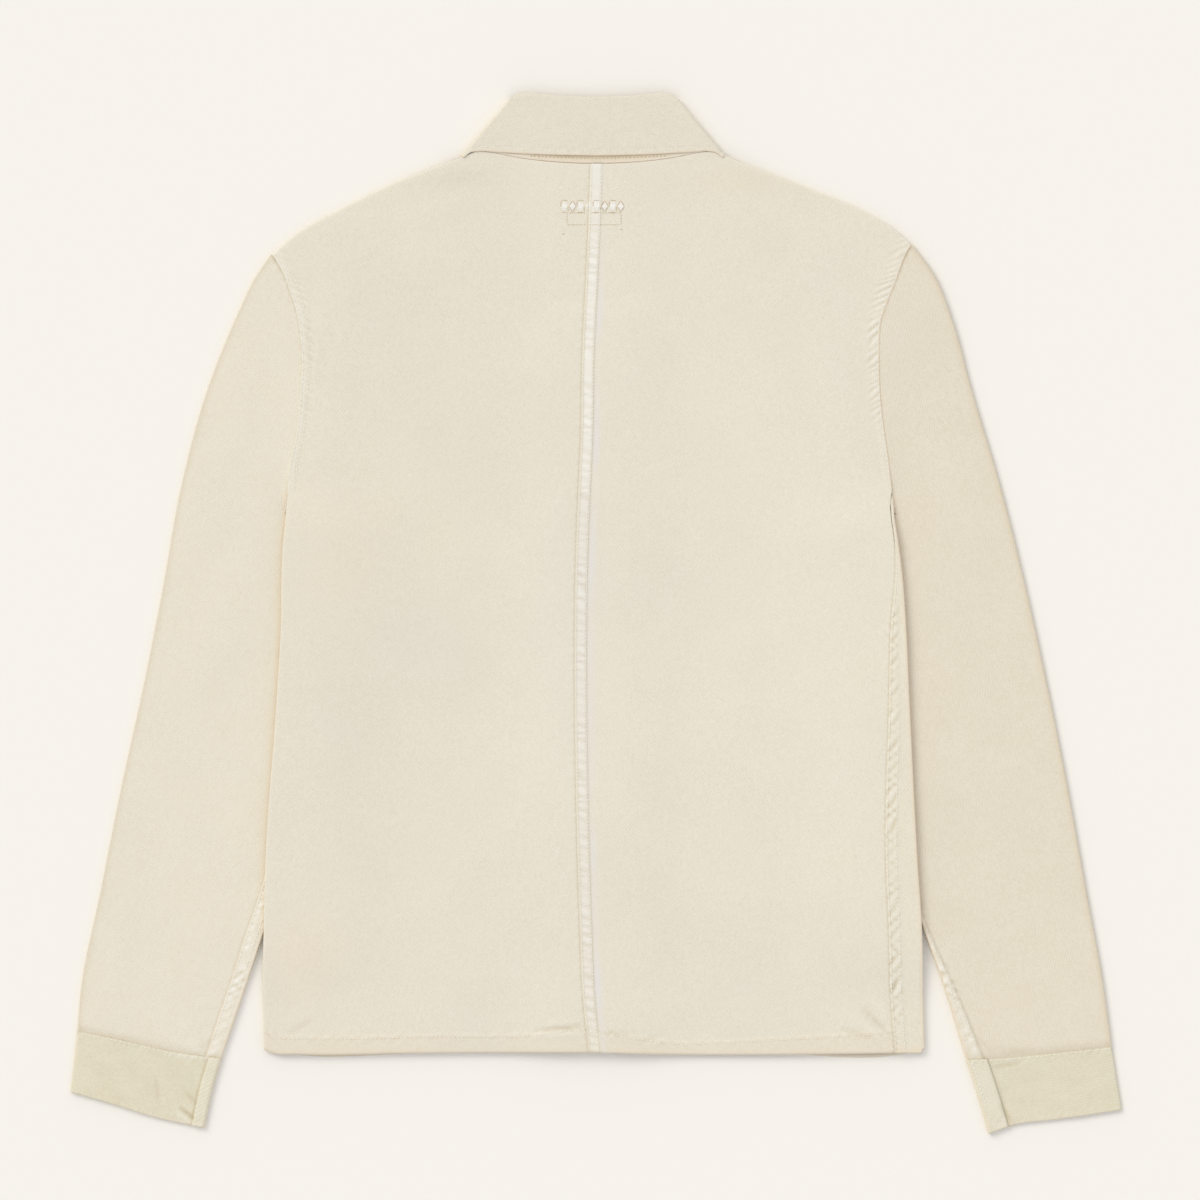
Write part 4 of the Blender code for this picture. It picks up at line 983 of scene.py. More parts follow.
def aroundRightEdge(shape, guess, start):
    # the right front's way round the right edge, and its upper part to the side seam
    steps = front["aroundSteps"]
    headings, chord, out = aroundPath()
    folded = sideFold(guess)[0]
    edge = shape.at(np.ones_like(guess), guess)
    seam = lines["right"]["sideSeam"](guess / cut["sidePart"])
    room = np.maximum(edge[:, 0] - out - seam[:, 0] - cut["gap"] / 2, 0.5)
    x, z = start[:, 0].copy(), start[:, 2].copy()
    points, tones, warms = [], [], []
    for step in range(steps + front["topSteps"]):
        onTop = step >= steps
        length = room / front["topSteps"] if onTop else np.full_like(room, chord)
        heading = math.pi if onTop else headings[step]
        run = mix(front["flatStep"] if not onTop else 0.08, length, folded)
        x = x + run * np.cos(heading * folded)
        z = z + run * np.sin(heading * folded)
        y = mix(edge[:, 1], seam[:, 1], folded * onTop)
        if not onTop:
            y = mix(start[:, 1], y, (step + 1) / steps)
        tone = np.zeros_like(x)
        height = z.copy()
        if onTop:
            off = x - seam[:, 0] - cut["gap"] / 2
            raised = folded * smooth((room - 4.0) / 6.0)
            wide = np.minimum(cut["seamBand"], 0.6 * room)
            band = smooth((wide + 1.5 - off) / 4.0) * raised
            ridge = pucker(y, off - 4.5, *front["sidePucker"])
            settled = smooth((step - steps + 1) / 6)
            height += 0.5 * cut["bandRise"] * band + front["puckerRise"] * ridge * band
            height += (backTop(x, y) - tableLift(x, y) - cut["bodyDepth"]) * settled * folded
            height -= turnedUnder(off, 1.1, 0.9) * raised
            tone += band * (0.55 * ridge + 0.02)
            # a painted shadow line where the side seam's band ends
            tone -= 0.3 * raised * fading(off - 1.6, 0.7)
        points.append(np.stack([x, y, height], -1))
        tones.append(tone)
        # a painted warm glow on the turned edge, which lies in shade
        warms.append(np.full_like(x, 0.0 if onTop else 0.35))
    return np.stack(points, 1), np.stack(tones, 1), np.stack(warms, 1)


def frontHalf(side):
    shape = frontShape(side)
    surface = frontSurface(side, shape)
    radius = cut["foldRadius"]
    count = int((front["height"] - front["rowsFrom"]) / front["rowPitch"])
    rows, guess = rowPlan(front, np.arange(0, front["hemRowsTo"], front["hemRowPitch"]), count)
    folded, parted = sideFold(guess)
    last = radius if side == "left" else front["aroundSteps"] * front["flatStep"] + 2.1
    flatEnd = np.full_like(guess, radius)
    if side == "right":
        flatEnd = mix(last, aroundPath()[2], folded)
    nearInsets = np.arange(0, front["placketWidth"], front["placketPitch"])
    nearShare = nearInsets[None, :] / shape.nearScale(guess)[:, None]
    farShare = 1 - (flatEnd / shape.farScale(guess))[:, None]
    count = int(front["flatWidth"] / front["columnPitch"])
    share = np.linspace(0, 1, count + 2)[None, 1:]
    u = np.hstack([nearShare, nearShare[:, -1:] * (1 - share) + farShare * share])
    climb = 0.0
    if side == "left":
        u, climb = sideTurns(shape, u, guess, front["turns"], folded, parted)
    v, depth = rowShares(front, shape, rows, u, cut["frontNeckPart"])
    points, tone, warm = surface(u, v)
    points[..., 2] += climb + depth
    if side == "right":
        around, aroundTone, aroundWarm = aroundRightEdge(shape, guess, points[:, -1])
        points = np.concatenate([points, around], axis=1)
        tone = np.concatenate([tone, aroundTone], axis=1)
        # a painted warm glow at the hem's fold
        hem = points[:, -around.shape[1]:, 1] + 332.0
        aroundWarm = np.maximum(aroundWarm, 0.5 * fading(hem, 3.2))
        warm = np.concatenate([warm, aroundWarm], axis=1)
    piece = clothPiece("front" + side.capitalize(), points, cut["shell"], finishes["front"],
                       {"tone": tone, "warm": warm}, flip=side == "right")
    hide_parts("front_" + side)
    return piece, shape


frontPieces = {side: frontHalf(side) for side in sides}
print("the fronts are laid out")


# The sleeves: flattened tubes, each row of points once round both layers

sleeve = {"rows": 262, "topColumns": 54, "bandColumns": 11, "bottomColumns": 26, "turnSteps": 10,
          "tuckedIn": 6.0, "pitShare": 0.2, "pitPower": 2.6, "probe": 0.02, "puckerPitch": 6.0,
          "puckerRise": 0.34, "armholePucker": (6.2, 0.4, 5.0, 33), "bandTurn": 14.6,
          "pitReach": 11.0, "length": 640.0, "tucked": (8.0, 50.0, 97.0, 8.0),
          "bandWidth": {"left": ((-337.0, -281.0, -220.0), (12.2, 13.1, 14.4)),
                        "right": ((-337.0, -309.0, -287.0, -264.7, -227.0), (13.2, 10.9, 8.6, 6.2, 3.0))},
          "bandFrom": 0.72, "lean": {"left": -24.0, "right": 23.0},
          # short creases by the cuffs, and soft folds as on the back
          "creases": [(-300.0, -328.0, -284.0, -322.0, 3.0, -0.5),
                      (-278.0, -318.0, -284.0, -330.0, 3.0, -0.35),
                      (-312.0, -326.0, -296.0, -334.0, 3.4, 0.3),
                      (302.0, -331.0, 332.0, -331.5, 3.4, -0.45),
                      (290.0, -322.0, 300.0, -332.0, 3.0, -0.3)],
          "folds": [(-262.0, 196.0, -300.0, 60.0, 26.0, 0.5), (-250.0, 60.0, -310.0, -60.0, 28.0, 0.45),
                    (-330.0, -120.0, -290.0, -260.0, 26.0, 0.4),
                    (-352.0, -210.0, -372.0, -300.0, 18.0, 0.4),
                    (258.0, 190.0, 292.0, 60.0, 28.0, 0.5), (252.0, 30.0, 300.0, -80.0, 28.0, 0.5),
                    (318.0, -110.0, 290.0, -240.0, 28.0, 0.4),
                    (345.0, -200.0, 366.0, -300.0, 18.0, 0.4),
                    (-268.0, -292.0, -300.0, -318.0, 7.0, -0.35),
                    (268.0, -284.0, 300.0, -310.0, 7.0, -0.35)]}


def sleeveShape(side):
    part = lines[side]
    outer, inner, cuffSeam = part["sleeveOuter"], part["sleeveInner"], part["cuffSeam"]
    armhole = armholeLine(side, 1)

    def at(u, v):
        u, v = spread(u, v)
        p, q = u[..., None], v[..., None]
        fanned = mix(v ** sleeve["pitPower"], v, sleeve["pitShare"])
        innerAt = inner(fanned)
        tucked = within(innerAt[..., 1], *sleeve["tucked"])
        innerAt = innerAt - np.stack([sides[side] * tucked * sleeve["tuckedIn"], 0 * tucked], -1)
        across = outer(v) * (1 - p) + innerAt * p
        fromArmhole = armhole(1 - u) - outer(0.0) * (1 - p) - inner(0.0) * p
        fromCuff = cuffSeam(u) - cuffSeam(0.0) * (1 - p) - cuffSeam(1.0) * p
        return across + fromArmhole * (1 - q) ** 1.5 + fromCuff * q
    return Layout(at)


def offEdge(shape, v, inset, fromFar):
    # points an inset in from a sleeve's edge, square to it except at the armhole
    edge, inward = (1.0, 1 - sleeve["probe"]) if fromFar else (0.0, sleeve["probe"])
    start = shape.at(edge, v)
    across = shape.at(inward, v) - start
    across = across / np.linalg.norm(across, axis=-1, keepdims=True)
    along = shape.at(edge, np.minimum(v + sleeve["probe"], 1)) \
        - shape.at(edge, np.maximum(v - sleeve["probe"], 0))
    square = np.stack([-along[:, 1], along[:, 0]], -1)
    square = square / np.linalg.norm(square, axis=-1, keepdims=True)
    square = square * np.sign((square * across).sum(-1))[:, None]
    way = mix(across, square, smooth(v / 0.03)[:, None])
    return start + way / np.linalg.norm(way, axis=-1, keepdims=True) * inset[:, None]


def sleeveDepth(v):
    return mix(cut["bodyDepth"], cut["sleeveDepth"], smooth(v / 0.2))


def sleeveTop(side, shape):
    # the upper side of a sleeve at shares u from its outer edge and v from the armhole
    def at(u, v):
        u, v = spread(u, v)
        place = shape.at(u, v)
        x, y = place[..., 0], place[..., 1]
        far = (1 - u) * shape.farScale(v)
        raised = smooth((v - sleeve["bandFrom"]) / 0.1)
        bandAt = np.interp(y, *sleeve["bandWidth"][side])
        band = raised * smooth((bandAt - far) / 0.8)
        middle = smooth((far - 1.0) / 6.0) * smooth(u * shape.nearScale(v) / 8.0)
        z = sleeveDepth(v) + cut["bandRise"] * band
        z = z + (lengthwise(sleeve["folds"], x, y) + clothSwell(x, y) * 1.2) * middle
        z = z + lengthwise(sleeve["creases"], x, y)
        # the felled seam's band: pucker tone partly painted highlight and shade, and a painted shadow
        # line beside the band
        run = pucker(y, far - bandAt / 2, sleeve["puckerPitch"], 0.5 * sides[side], 5.0, 81)
        z = z + sleeve["puckerRise"] * run * raised
        tone = raised * (0.5 * run + 0.15 * band - 0.4 * fading(far - bandAt - 0.5, 0.8))
        down = v * sleeve["length"]
        armholeRun = pucker(y, down, *sleeve["armholePucker"])
        z = z + 0.12 * armholeRun
        # a painted shadow at the armhole end, beside the body's seam band
        tone = tone + 0.12 * armholeRun - 0.3 * fading(down, 1.4)
        # lobes beside the band, whitened partly as wear and partly as painted highlight
        run = np.maximum(np.sin(2 * math.pi * (y / 7.1 + 0.3 * swell(y, 0.0, 50.0, 84))), 0.0)
        lobe = run * fading(far - bandAt + 4.2, 2.0) * smooth((v - 0.8) / 0.06)
        lobe = lobe * (0.65 + 0.35 * swell(y, 0.0, 24.0, 85))
        z = z + 0.26 * lobe
        tone = tone + 1.1 * lobe
        # a painted shadow on the sleeve above the cuff's seam, and painted shade in the creases
        above = (1 - v) * shape.topScale(u) + 0.0 * x
        tone = tone - 0.3 * fading(above, 3.2)
        tone = tone + 0.5 * lengthwise(sleeve["creases"], x, y)
        # a painted warm glow along both edges, and painted shade on the outer edge
        outer = fading(u * shape.nearScale(v), 3.4)
        warm = 0.5 * fading(far, 2.4) + (0.1 if side == "left" else 0.4) * outer
        tone = tone - 0.2 * outer
        # a painted warm tint in the body's shadow where the body lies over the sleeve
        rows = np.array(cut["body"])
        edge = np.interp(y, rows[:, 0], rows[:, 1 if side == "left" else 4]) * sides[side]
        bodyShadowWarmth = fading(x * sides[side] - edge, 2.2) * (y < 94)
        warm = warm + 0.5 * bodyShadowWarmth
        return np.stack([x, y, z], -1), tone, warm
    return at


def sleevePiece(side):
    shape = sleeveShape(side)
    surface = sleeveTop(side, shape)
    v = np.concatenate([np.linspace(0, 0.012, 8)[:-1], np.linspace(0.012, 1.0, sleeve["rows"])])
    radius = sleeveDepth(v) / 2
    bandEnd = 1 - sleeve["bandTurn"] / shape.farScale(v)
    turnEnd = 1 - radius / shape.farScale(v)
    start = radius / shape.nearScale(v)
    share = np.linspace(0, 1, sleeve["topColumns"] + 2)[None, :-1]
    u = np.hstack([start[:, None] * (1 - share) + bandEnd[:, None] * share,
                   bandEnd[:, None] + (turnEnd - bandEnd)[:, None]
                   * np.linspace(0, 1, sleeve["bandColumns"] + 1)[None]])
    top, tone, warm = surface(u, v[:, None])
    lift = top[:, -1, 2] - sleeveDepth(v)

    def turnPoints(fromFar, angles):
        found = []
        for angle in angles:
            place = offEdge(shape, v, radius * (1 - squared(math.cos(angle))), fromFar)
            z = radius + math.copysign(squared(abs(math.sin(angle))), angle) * radius
            if fromFar and angle > 0:
                z = z + lift * math.sin(angle)
            found.append(np.concatenate([place, z[:, None]], -1))
        return np.stack(found, 1)
    angles = np.linspace(math.pi / 2, -math.pi / 2, sleeve["turnSteps"] + 1)
    inner = turnPoints(True, angles)
    outer = turnPoints(False, angles[::-1])
    share = np.linspace(1, 0, sleeve["bottomColumns"] + 2)[1:-1][None]
    below = start[:, None] * (1 - share) + turnEnd[:, None] * share
    bottom = shape.at(below, v[:, None])
    bottom = np.concatenate([bottom, np.zeros_like(bottom[..., :1])], -1)
    points = np.concatenate([top, inner[:, 1:], bottom, outer[:, :-1]], axis=1)
    # round the edges: a painted warm glow on the inner turn, painted shade on the outer turn
    fill = points.shape[1] - tone.shape[1]
    count = np.arange(fill)
    rimWarmGlow = np.broadcast_to(fading(count, 6.0)[None] * 0.45, (len(v), fill))
    outer = fading(fill - count, 8.0)
    tone = np.hstack([tone, np.broadcast_to(-0.3 * outer[None], (len(v), fill))])
    warm = np.hstack([warm, rimWarmGlow])
    # the cloth that doubles up at the underarm keeps its thickness off the table
    fromPit = np.linalg.norm(points[..., :2] - lines[side]["sleeveInner"](0.0), axis=-1)
    kept = cut["shell"] * 1.1 * smooth(2 - fromPit / sleeve["pitReach"])
    points[..., 2] = np.maximum(points[..., 2], kept)
    # the first row runs on under the body's seam band
    under = points[:1].copy()
    under[..., 0] -= sides[side] * 3.0
    under[..., 2] = under[..., 2] * 0.7 + 0.4
    # and the last one under the cuff
    end = points[-1:] + (points[-1:] - points[-3:-2]) * 0.9
    end[..., 2] = points[-1:, :, 2] * 0.62 + 0.5
    points[-1, :, 2] = points[-1, :, 2] * 0.8 + 0.35
    points = np.concatenate([under, points, end])
    tone, warm = (np.concatenate([f[:1], f, f[-1:]]) for f in (tone, warm))
    piece = clothPiece("sleeve" + side.capitalize(), points, cut["shell"],
                       finishes["sleeve" + side.capitalize()], {"tone": tone, "warm": warm},
                       closed=True, flip=side == "left",
                       weave=turned(points, sleeve["lean"][side]))
    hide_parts("sleeve_" + side)
    return piece, shape


sleevePieces = {side: sleevePiece(side) for side in sides}
print("the sleeves are laid out")


# The cuffs: an open strip round both layers, its end lapped on top at the inner edge

cuff = {"low": 0.6, "high": 3.0, "lap": 4.5, "underEnd": 3.6,
        "lapWidth": {"left": 10.0, "right": 16.5}, "seamGap": 0.6, "wall": 1.2, "rows": 44,
        "columns": 58, "turnSteps": 9, "lapColumns": 10, "seamStitches": 2.3,
        "seamPucker": (4.6, 0.6, 3.4, 92), "edgePucker": (5.2, -0.6, 4.2, 93),
        "lapPucker": (3.6, 0.7, 9.0, 95),
        "folds": [(-360.0, -330.0, -352.0, -368.0, 9.0, 0.3),
                  (-334.0, -330.0, -332.0, -378.0, 6.0, -0.25),
                  (-306.0, -352.0, -297.0, -383.0, 4.5, -0.4),
                  (330.0, -334.0, 326.0, -386.0, 12.0, 0.25),
                  (312.0, -360.0, 308.0, -389.0, 5.0, -0.35),
                  (372.0, -336.0, 378.0, -372.0, 10.0, -0.2)],
        "creases": [(-316.0, -374.5, -305.5, -383.0, 2.2, -0.75),
                    (-318.0, -378.5, -308.0, -386.0, 2.2, 0.4),
                    (-312.0, -362.0, -304.0, -372.0, 2.6, -0.35),
                    (-328.0, -333.0, -300.0, -337.0, 3.0, 0.3),
                    (-334.5, -352.0, -332.0, -372.0, 2.2, -0.22),
                    (302.0, -344.0, 320.0, -341.0, 3.2, -0.35),
                    (306.0, -372.0, 318.0, -388.0, 2.8, -0.3)]}


def cuffShape(side):
    part = lines[side]
    return Layout(spanned(part["cuffSeam"], part["cuffEdge"], part["cuffOuter"],
                          part["cuffInner"]))


def cuffTop(side, shape, height):
    # the upper layer of a cuff, at shares u from the outer edge and v from the seam
    def at(u, v):
        u, v = spread(u, v)
        place = shape.at(u, v) - np.stack([np.zeros_like(v), cuff["seamGap"] * (1 - v)], -1)
        x, y = place[..., 0], place[..., 1]
        down = v * reach(shape.at(u, 1.0), shape.at(u, 0.0))
        far = (1 - u) * shape.farScale(v)
        z = height + cuff["wall"] / 2
        creased = lengthwise(cuff["creases"], x, y)
        z = z + lengthwise(cuff["folds"], x, y) + creased
        z = z + 0.5 * clothSwell(x, y) + 0.1 * swell(x, y, 22.0, 91)
        length = reach(shape.at(0.6, 1.0), shape.at(0.6, 0.0))
        seamRun = pucker(x, down - 2.0, *cuff["seamPucker"])
        edgeRun = pucker(x, length - down - 3.0, *cuff["edgePucker"])
        z = z + 0.12 * seamRun + 0.14 * edgeRun
        z = z - 0.35 * smooth(1 - down / 1.0) - 0.5 * smooth(1 - (length - down) / 1.1)
        # tone: puckers, an uneven wash and painted shade in the creases
        tone = 0.16 * seamRun + 0.1 * edgeRun + 0.05 * swell(x, y * 2.0, 30.0, 94) + creased
        onLap = smooth((cuff["lapWidth"][side] - far) / 1.0)
        lapRun = pucker(y, far - 5.0, *cuff["lapPucker"]) * onLap
        z = z + 0.1 * lapRun
        tone = tone + (0.18 + 0.3 * lapRun) * onLap
        # a painted shadow line at the lap's edge, painted shade at the seam and a painted highlight at
        # the bottom fold
        tone = tone - 0.35 * fading(far - cuff["lapWidth"][side] - 0.6, 0.7)
        tone = tone - 0.35 * fading(down, 0.8) + 0.25 * fading(length - down, 1.2)
        # a painted warm glow at the bottom fold and the inner edge
        warm = 0.3 * fading(length - down, 2.0) + 0.2 * fading(far, 2.0)
        return np.stack([x, y, z], -1), tone, warm
    return at


def cuffPiece(side):
    shape = cuffShape(side)
    v = np.linspace(0, 1, cuff["rows"])
    surface, lapSurface = cuffTop(side, shape, cuff["high"]), cuffTop(side, shape, cuff["lap"])
    low, wall = cuff["low"], cuff["wall"]
    nearScale, farScale = shape.nearScale(v), shape.farScale(v)

    def turn(high, fromFar, angles):
        # round an edge, outside of the cloth, from the given angles
        radius = (high - low) / 2 + wall / 2
        insets = np.array([radius * (1 - math.cos(a)) for a in angles])[None]
        u = 1 - insets / farScale[:, None] if fromFar else insets / nearScale[:, None]
        place, tone, warm = surface(u, v[:, None])
        place[..., 2] = (high + low) / 2 + radius * np.sin(angles)[None]
        return place, tone * 0.5, warm
    radiusOut = (cuff["high"] - low) / 2 + wall / 2
    radiusIn = (cuff["lap"] - low) / 2 + wall / 2
    first, last = cuff["underEnd"] / farScale, radiusOut / nearScale
    share = np.linspace(0, 1, cuff["columns"])[None]
    u = (1 - first)[:, None] * (1 - share) + last[:, None] * share
    top = surface(u, v[:, None])
    quarter = math.pi / 2
    outer = turn(cuff["high"], False, np.linspace(quarter, -quarter, cuff["turnSteps"])[1:])
    share = np.linspace(0, 1, cuff["columns"] // 2)[None, 1:-1]
    u = last[:, None] * (1 - share) + (1 - radiusIn / farScale)[:, None] * share
    bottom = surface(u, v[:, None])
    bottom[0][..., 2] = 0.0
    inner = turn(cuff["lap"], True, np.linspace(-quarter, quarter, cuff["turnSteps"] + 4))
    insets = np.linspace(radiusIn, cuff["lapWidth"][side], cuff["lapColumns"])[None, 1:]
    lap = lapSurface(1 - insets / farScale[:, None], v[:, None])
    end = fading(cuff["lapWidth"][side] - insets, 0.7)
    lap[0][..., 2] -= 0.7 * end
    points, tone, warm = (np.concatenate([s[i] for s in (top, outer, bottom, inner, lap)], axis=1)
                          for i in range(3))
    points[..., 2] = np.maximum(points[..., 2], 0.0)
    piece = clothPiece("cuff" + side.capitalize(), points, cut["shell"], finishes["cuff"],
                       {"tone": tone, "warm": warm}, flip=side == "right",
                       weave=turned(points, sleeve["lean"][side] + 90))
    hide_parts("cuff_" + side)
    return piece, shape


cuffPieces = {side: cuffPiece(side) for side in sides}
print("the cuffs are laid out")


# The collar: sections from the left front round the back of the neck to the right front

collar = {"neckZ": 4.15, "standOut": 2.0, "fallOut": 3.55, "trim": 0.6, "leafStart": 0.12,
          "neckShares": 30, "frontShares": 30, "turnSteps": 12, "fallRows": 22, "standRows": 10,
          "rollSteps": 9, "wall": 1.2, "standShadeUnderFall": ((0.0, 0.05, 0.11, 1.0), (0.3, 0.1, -0.5, -0.5)),
          "pressedAt": (0.0, 1.0), "pressed": (0.3, 0.75), "edgeStitches": 4.0, "standStitches": 1.7,
          "edgePucker": (5.4, 0.5, 4.5, 111), "corner": (87.4, 352.3), "lowTrim": 0.15,
          "leansIn": 0.7, "rollGap": 0.3, "rollRoom": 0.9}


def collarHalf(side):
    # rows of: point on the neck seam, on the roll, on the fall's edge, outward ways, rise
    part, sign = lines[side], sides[side]
    corner = np.array([cut["collarX"] + sign * collar["corner"][0], collar["corner"][1]])
    found = []
    for share in np.linspace(0, 1, collar["frontShares"]):
        neck = mix(part["neckFront"](share), corner, smooth((share - 0.9) / 0.1))
        edge = part["fallFront"](max(share - collar["leafStart"], 0) / (1 - collar["leafStart"]))
        rise = float(overlapLift(neck[0])) if sign > 0 else 0.0
        found.append((neck, part["rollFront"](share), edge, (0, 0, -1), (0, 0, -1), rise))
    roll, edge = part["rollBack"](1.0), part["fallBack"](1.0)
    way = (edge - roll) / np.linalg.norm(edge - roll)
    sideways = np.array([-way[1], way[0], 0.0]) * sign
    for turn in np.linspace(math.pi, 0, collar["turnSteps"] + 2)[1:-1]:
        upright = np.array([0, 0, math.cos(turn)])
        found.append((corner, roll, edge, np.array([sign, 0, 0]) * math.sin(turn) + upright,
                      sideways * math.sin(turn) + upright, 0.0))
    for share in np.linspace(1, 0, collar["neckShares"]):
        neck = mix(part["neckBack"](share), corner, smooth((share - 0.9) / 0.1))
        found.append((neck, part["rollBack"](share), part["fallBack"](share), (0, 0, 1),
                      (0, 0, 1), 0.0))
    return found


def collarSections():
    whole = collarHalf("left") + list(reversed(collarHalf("right")))[1:]
    return [np.array([row[i] for row in whole], float) for i in range(6)]


neckAt, rollAt, edgeAt, standWay, fallWay, standRise = collarSections()


def lifted(flat, z):
    return np.concatenate([flat, np.broadcast_to(z, flat.shape[:-1])[..., None]], -1)


def standPiece():
    up = (rollAt - neckAt) / reach(rollAt, neckAt)[:, None]
    low, high = neckAt + up * collar["lowTrim"], rollAt - up * collar["trim"]
    shares = np.concatenate([np.linspace(0, 0.16, 9), np.linspace(0.25, 1, collar["standRows"])])
    rows, tones = [], []
    for share in shares:
        way = mix(standWay, fallWay, share)
        way = way / np.linalg.norm(way, axis=-1, keepdims=True)
        way[:, :2] *= collar["leansIn"] * (1 - share)
        out = collar["standOut"] + collar["wall"] / 2
        place = lifted(mix(low, high, share), collar["neckZ"] + standRise) + way * out
        rows.append(place)
        # painted shade, darker towards the fall's edge that hangs over the stand
        tones.append(np.full(len(place), np.interp(share, *collar["standShadeUnderFall"])))
    points = np.stack(rows, 1)
    run = swell(points[..., 0], points[..., 1], 18.0, 101)
    points[..., 2] += 0.12 * run * standWay[:, None, 2]
    # with a painted warm tint in that shade
    piece = clothPiece("collarStand", points, cut["wall"], finishes["stand"],
                       {"tone": np.stack(tones, 1), "warm": 0.3}, flip=True)
    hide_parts("collar_stand")
    return piece


def fallPiece():
    inner = collar["standOut"] + collar["wall"] / 2 + collar["rollGap"]
    outer = collar["fallOut"] + collar["wall"] / 2
    keep = slice(2, -2)
    roll, edge, way = rollAt[keep], edgeAt[keep], fallWay[keep]
    down = (edge - roll) / reach(edge, roll)[:, None]
    rows = []
    half = (outer - inner + collar["rollRoom"]) / 2
    middle = outer - half
    flatWay = np.array([1.0, 1.0, 0.0])

    def outward(distance, share):
        # the folds over the shoulders are pressed flat, most where they meet the roll
        pressed = np.interp(share, collar["pressedAt"], collar["pressed"])
        return way * (flatWay * pressed + (1 - flatWay)) * distance
    for turn in np.linspace(0, math.pi, collar["rollSteps"])[:-1]:
        flat = roll - down * half * math.sin(turn)
        rows.append(lifted(flat, collar["neckZ"]) + outward(middle - half * math.cos(turn), 0.0))
    length = reach(edge, roll)
    shares = np.concatenate([np.linspace(0.0, 0.86, collar["fallRows"]),
                             np.linspace(0.89, 1.0, 9)])
    tones = [np.zeros(len(roll))] * len(rows)
    along = travelled(edge)
    for share in shares:
        flat = roll + (edge - roll) * share
        fromEdge = (1 - share) * length
        run = pucker(along, fromEdge - collar["edgeStitches"], *collar["edgePucker"])
        soft = 0.16 * swell(flat[:, 0], flat[:, 1], 60.0, 112) * smooth(share / 0.2)
        bend = 0.1 * run - 0.22 * fading(fromEdge - collar["edgeStitches"], 0.9)
        bend = bend - 0.5 * smooth(1 - fromEdge / 0.9) + soft
        rows.append(lifted(flat, collar["neckZ"]) + outward((outer + bend)[:, None], share))
        # pucker tone, and a painted highlight at the fall's free edge
        tones.append(0.14 * run + 0.12 * fading(fromEdge, 0.8))
    points = np.stack(rows, 1)
    points[..., 2] = np.maximum(points[..., 2], 0.0)
    # a painted warm glow along the free edge
    warm = np.zeros(points.shape[:2])
    warm[:, -3:] = 0.5
    piece = clothPiece("collarFall", points, cut["wall"], finishes["fall"],
                       {"tone": np.stack(tones, 1), "warm": warm},
                       weave=turned(points, 90.0))
    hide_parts("collar_fall")
    return piece


stand = standPiece()
fall = fallPiece()
print("the collar is rolled")


# Sewing: every row of stitches, as its shares on a panel's plan

sewing = {"samples": 420, "centrePitch": 2.7, "centreLength": 2.0, "cuffPitch": 3.3,
          "collarPitch": 3.0, "reachUp": (0.012, 0.988)}


def across(shape, v, inset, fromFar=True):
    # plan points an inset in from one side of a panel
    if fromFar:
        return shape.at(1 - inset / shape.farScale(v), v)
    return shape.at(inset / shape.nearScale(v), v)


def bodySeams():
    rows, n = [], sewing["samples"]
    for side in sides:
        piece, shape = backPieces[side]
        u = np.linspace(*sewing["reachUp"], n)
        plan = shape.at(u, 0.02)
        inset = np.interp(plan[:, 0], *cut["hemStitch"])
        rows.append(sewn(piece, shape.at(u, inset / shape.hemScale(u)), seed=1))
        v = np.linspace(cut["sidePart"] + 0.012, 0.975, n)
        for inset in back["armholeStitches"]:
            rows.append(sewn(piece, across(shape, v, inset), seed=2))
    piece, shape = backPieces["right"]
    v = np.linspace(0.006, 0.994, 2 * n)
    for inset in back["seamStitches"]:
        rows.append(sewn(piece, across(shape, v, inset, False), sewing["centrePitch"],
                         sewing["centreLength"], seed=3))
    seam = lines["right"]["sideSeam"]
    for inset, upTo in zip(front["aroundStitches"], (0.86, 0.62)):
        path = seam(np.linspace(0.006, upTo, n)) + np.array([inset, 0.0])
        rows.append(sewn(frontPieces["right"][0], path, seed=4))
    path = np.linspace((228.0, -318.0), (243.5, -317.4), 30)
    rows.append(sewn(frontPieces["right"][0], path, seed=5))
    return rows


def frontSeams():
    rows, n = [], sewing["samples"]
    for side in sides:
        piece, shape = frontPieces[side]
        v, u = np.linspace(0.01, 0.985, n), np.linspace(0.01, 0.97, n)
        for inset in front["placketStitches"]:
            rows.append(sewn(piece, across(shape, v, inset, False), facing=-1, seed=6))
        rows.append(sewn(piece, shape.at(u, front["hemStitches"] / shape.hemScale(u)), facing=-1,
                         seed=7))
    return rows


def sleeveSeams(side):
    rows, n = [], sewing["samples"]
    piece, shape = sleevePieces[side]
    v = np.linspace(sleeve["bandFrom"] + 0.06, 0.992, n)
    plan = shape.at(0.98, v)
    wide = np.interp(plan[:, 1], *sleeve["bandWidth"][side])
    rows.append(sewn(piece, shape.at(1 - (wide - 1.5) / shape.farScale(v), v), seed=8))
    keep = wide > 8.5
    rows.append(sewn(piece, shape.at(1 - 4.6 / shape.farScale(v[keep]), v[keep]), seed=9))
    return rows


def cuffSeams(side):
    rows, n = [], sewing["samples"] // 2
    piece, shape = cuffPieces[side]
    u, v = np.linspace(0.02, 0.985, n), np.linspace(0.05, 0.96, n)
    deep = reach(shape.at(u, 1.0), shape.at(u, 0.0))
    rows.append(sewn(piece, shape.at(u, cuff["seamStitches"] / deep), sewing["cuffPitch"],
                     seed=10))
    if side == "right":
        rows.append(sewn(piece, across(shape, v, 4.0), sewing["cuffPitch"], seed=11))
    return rows


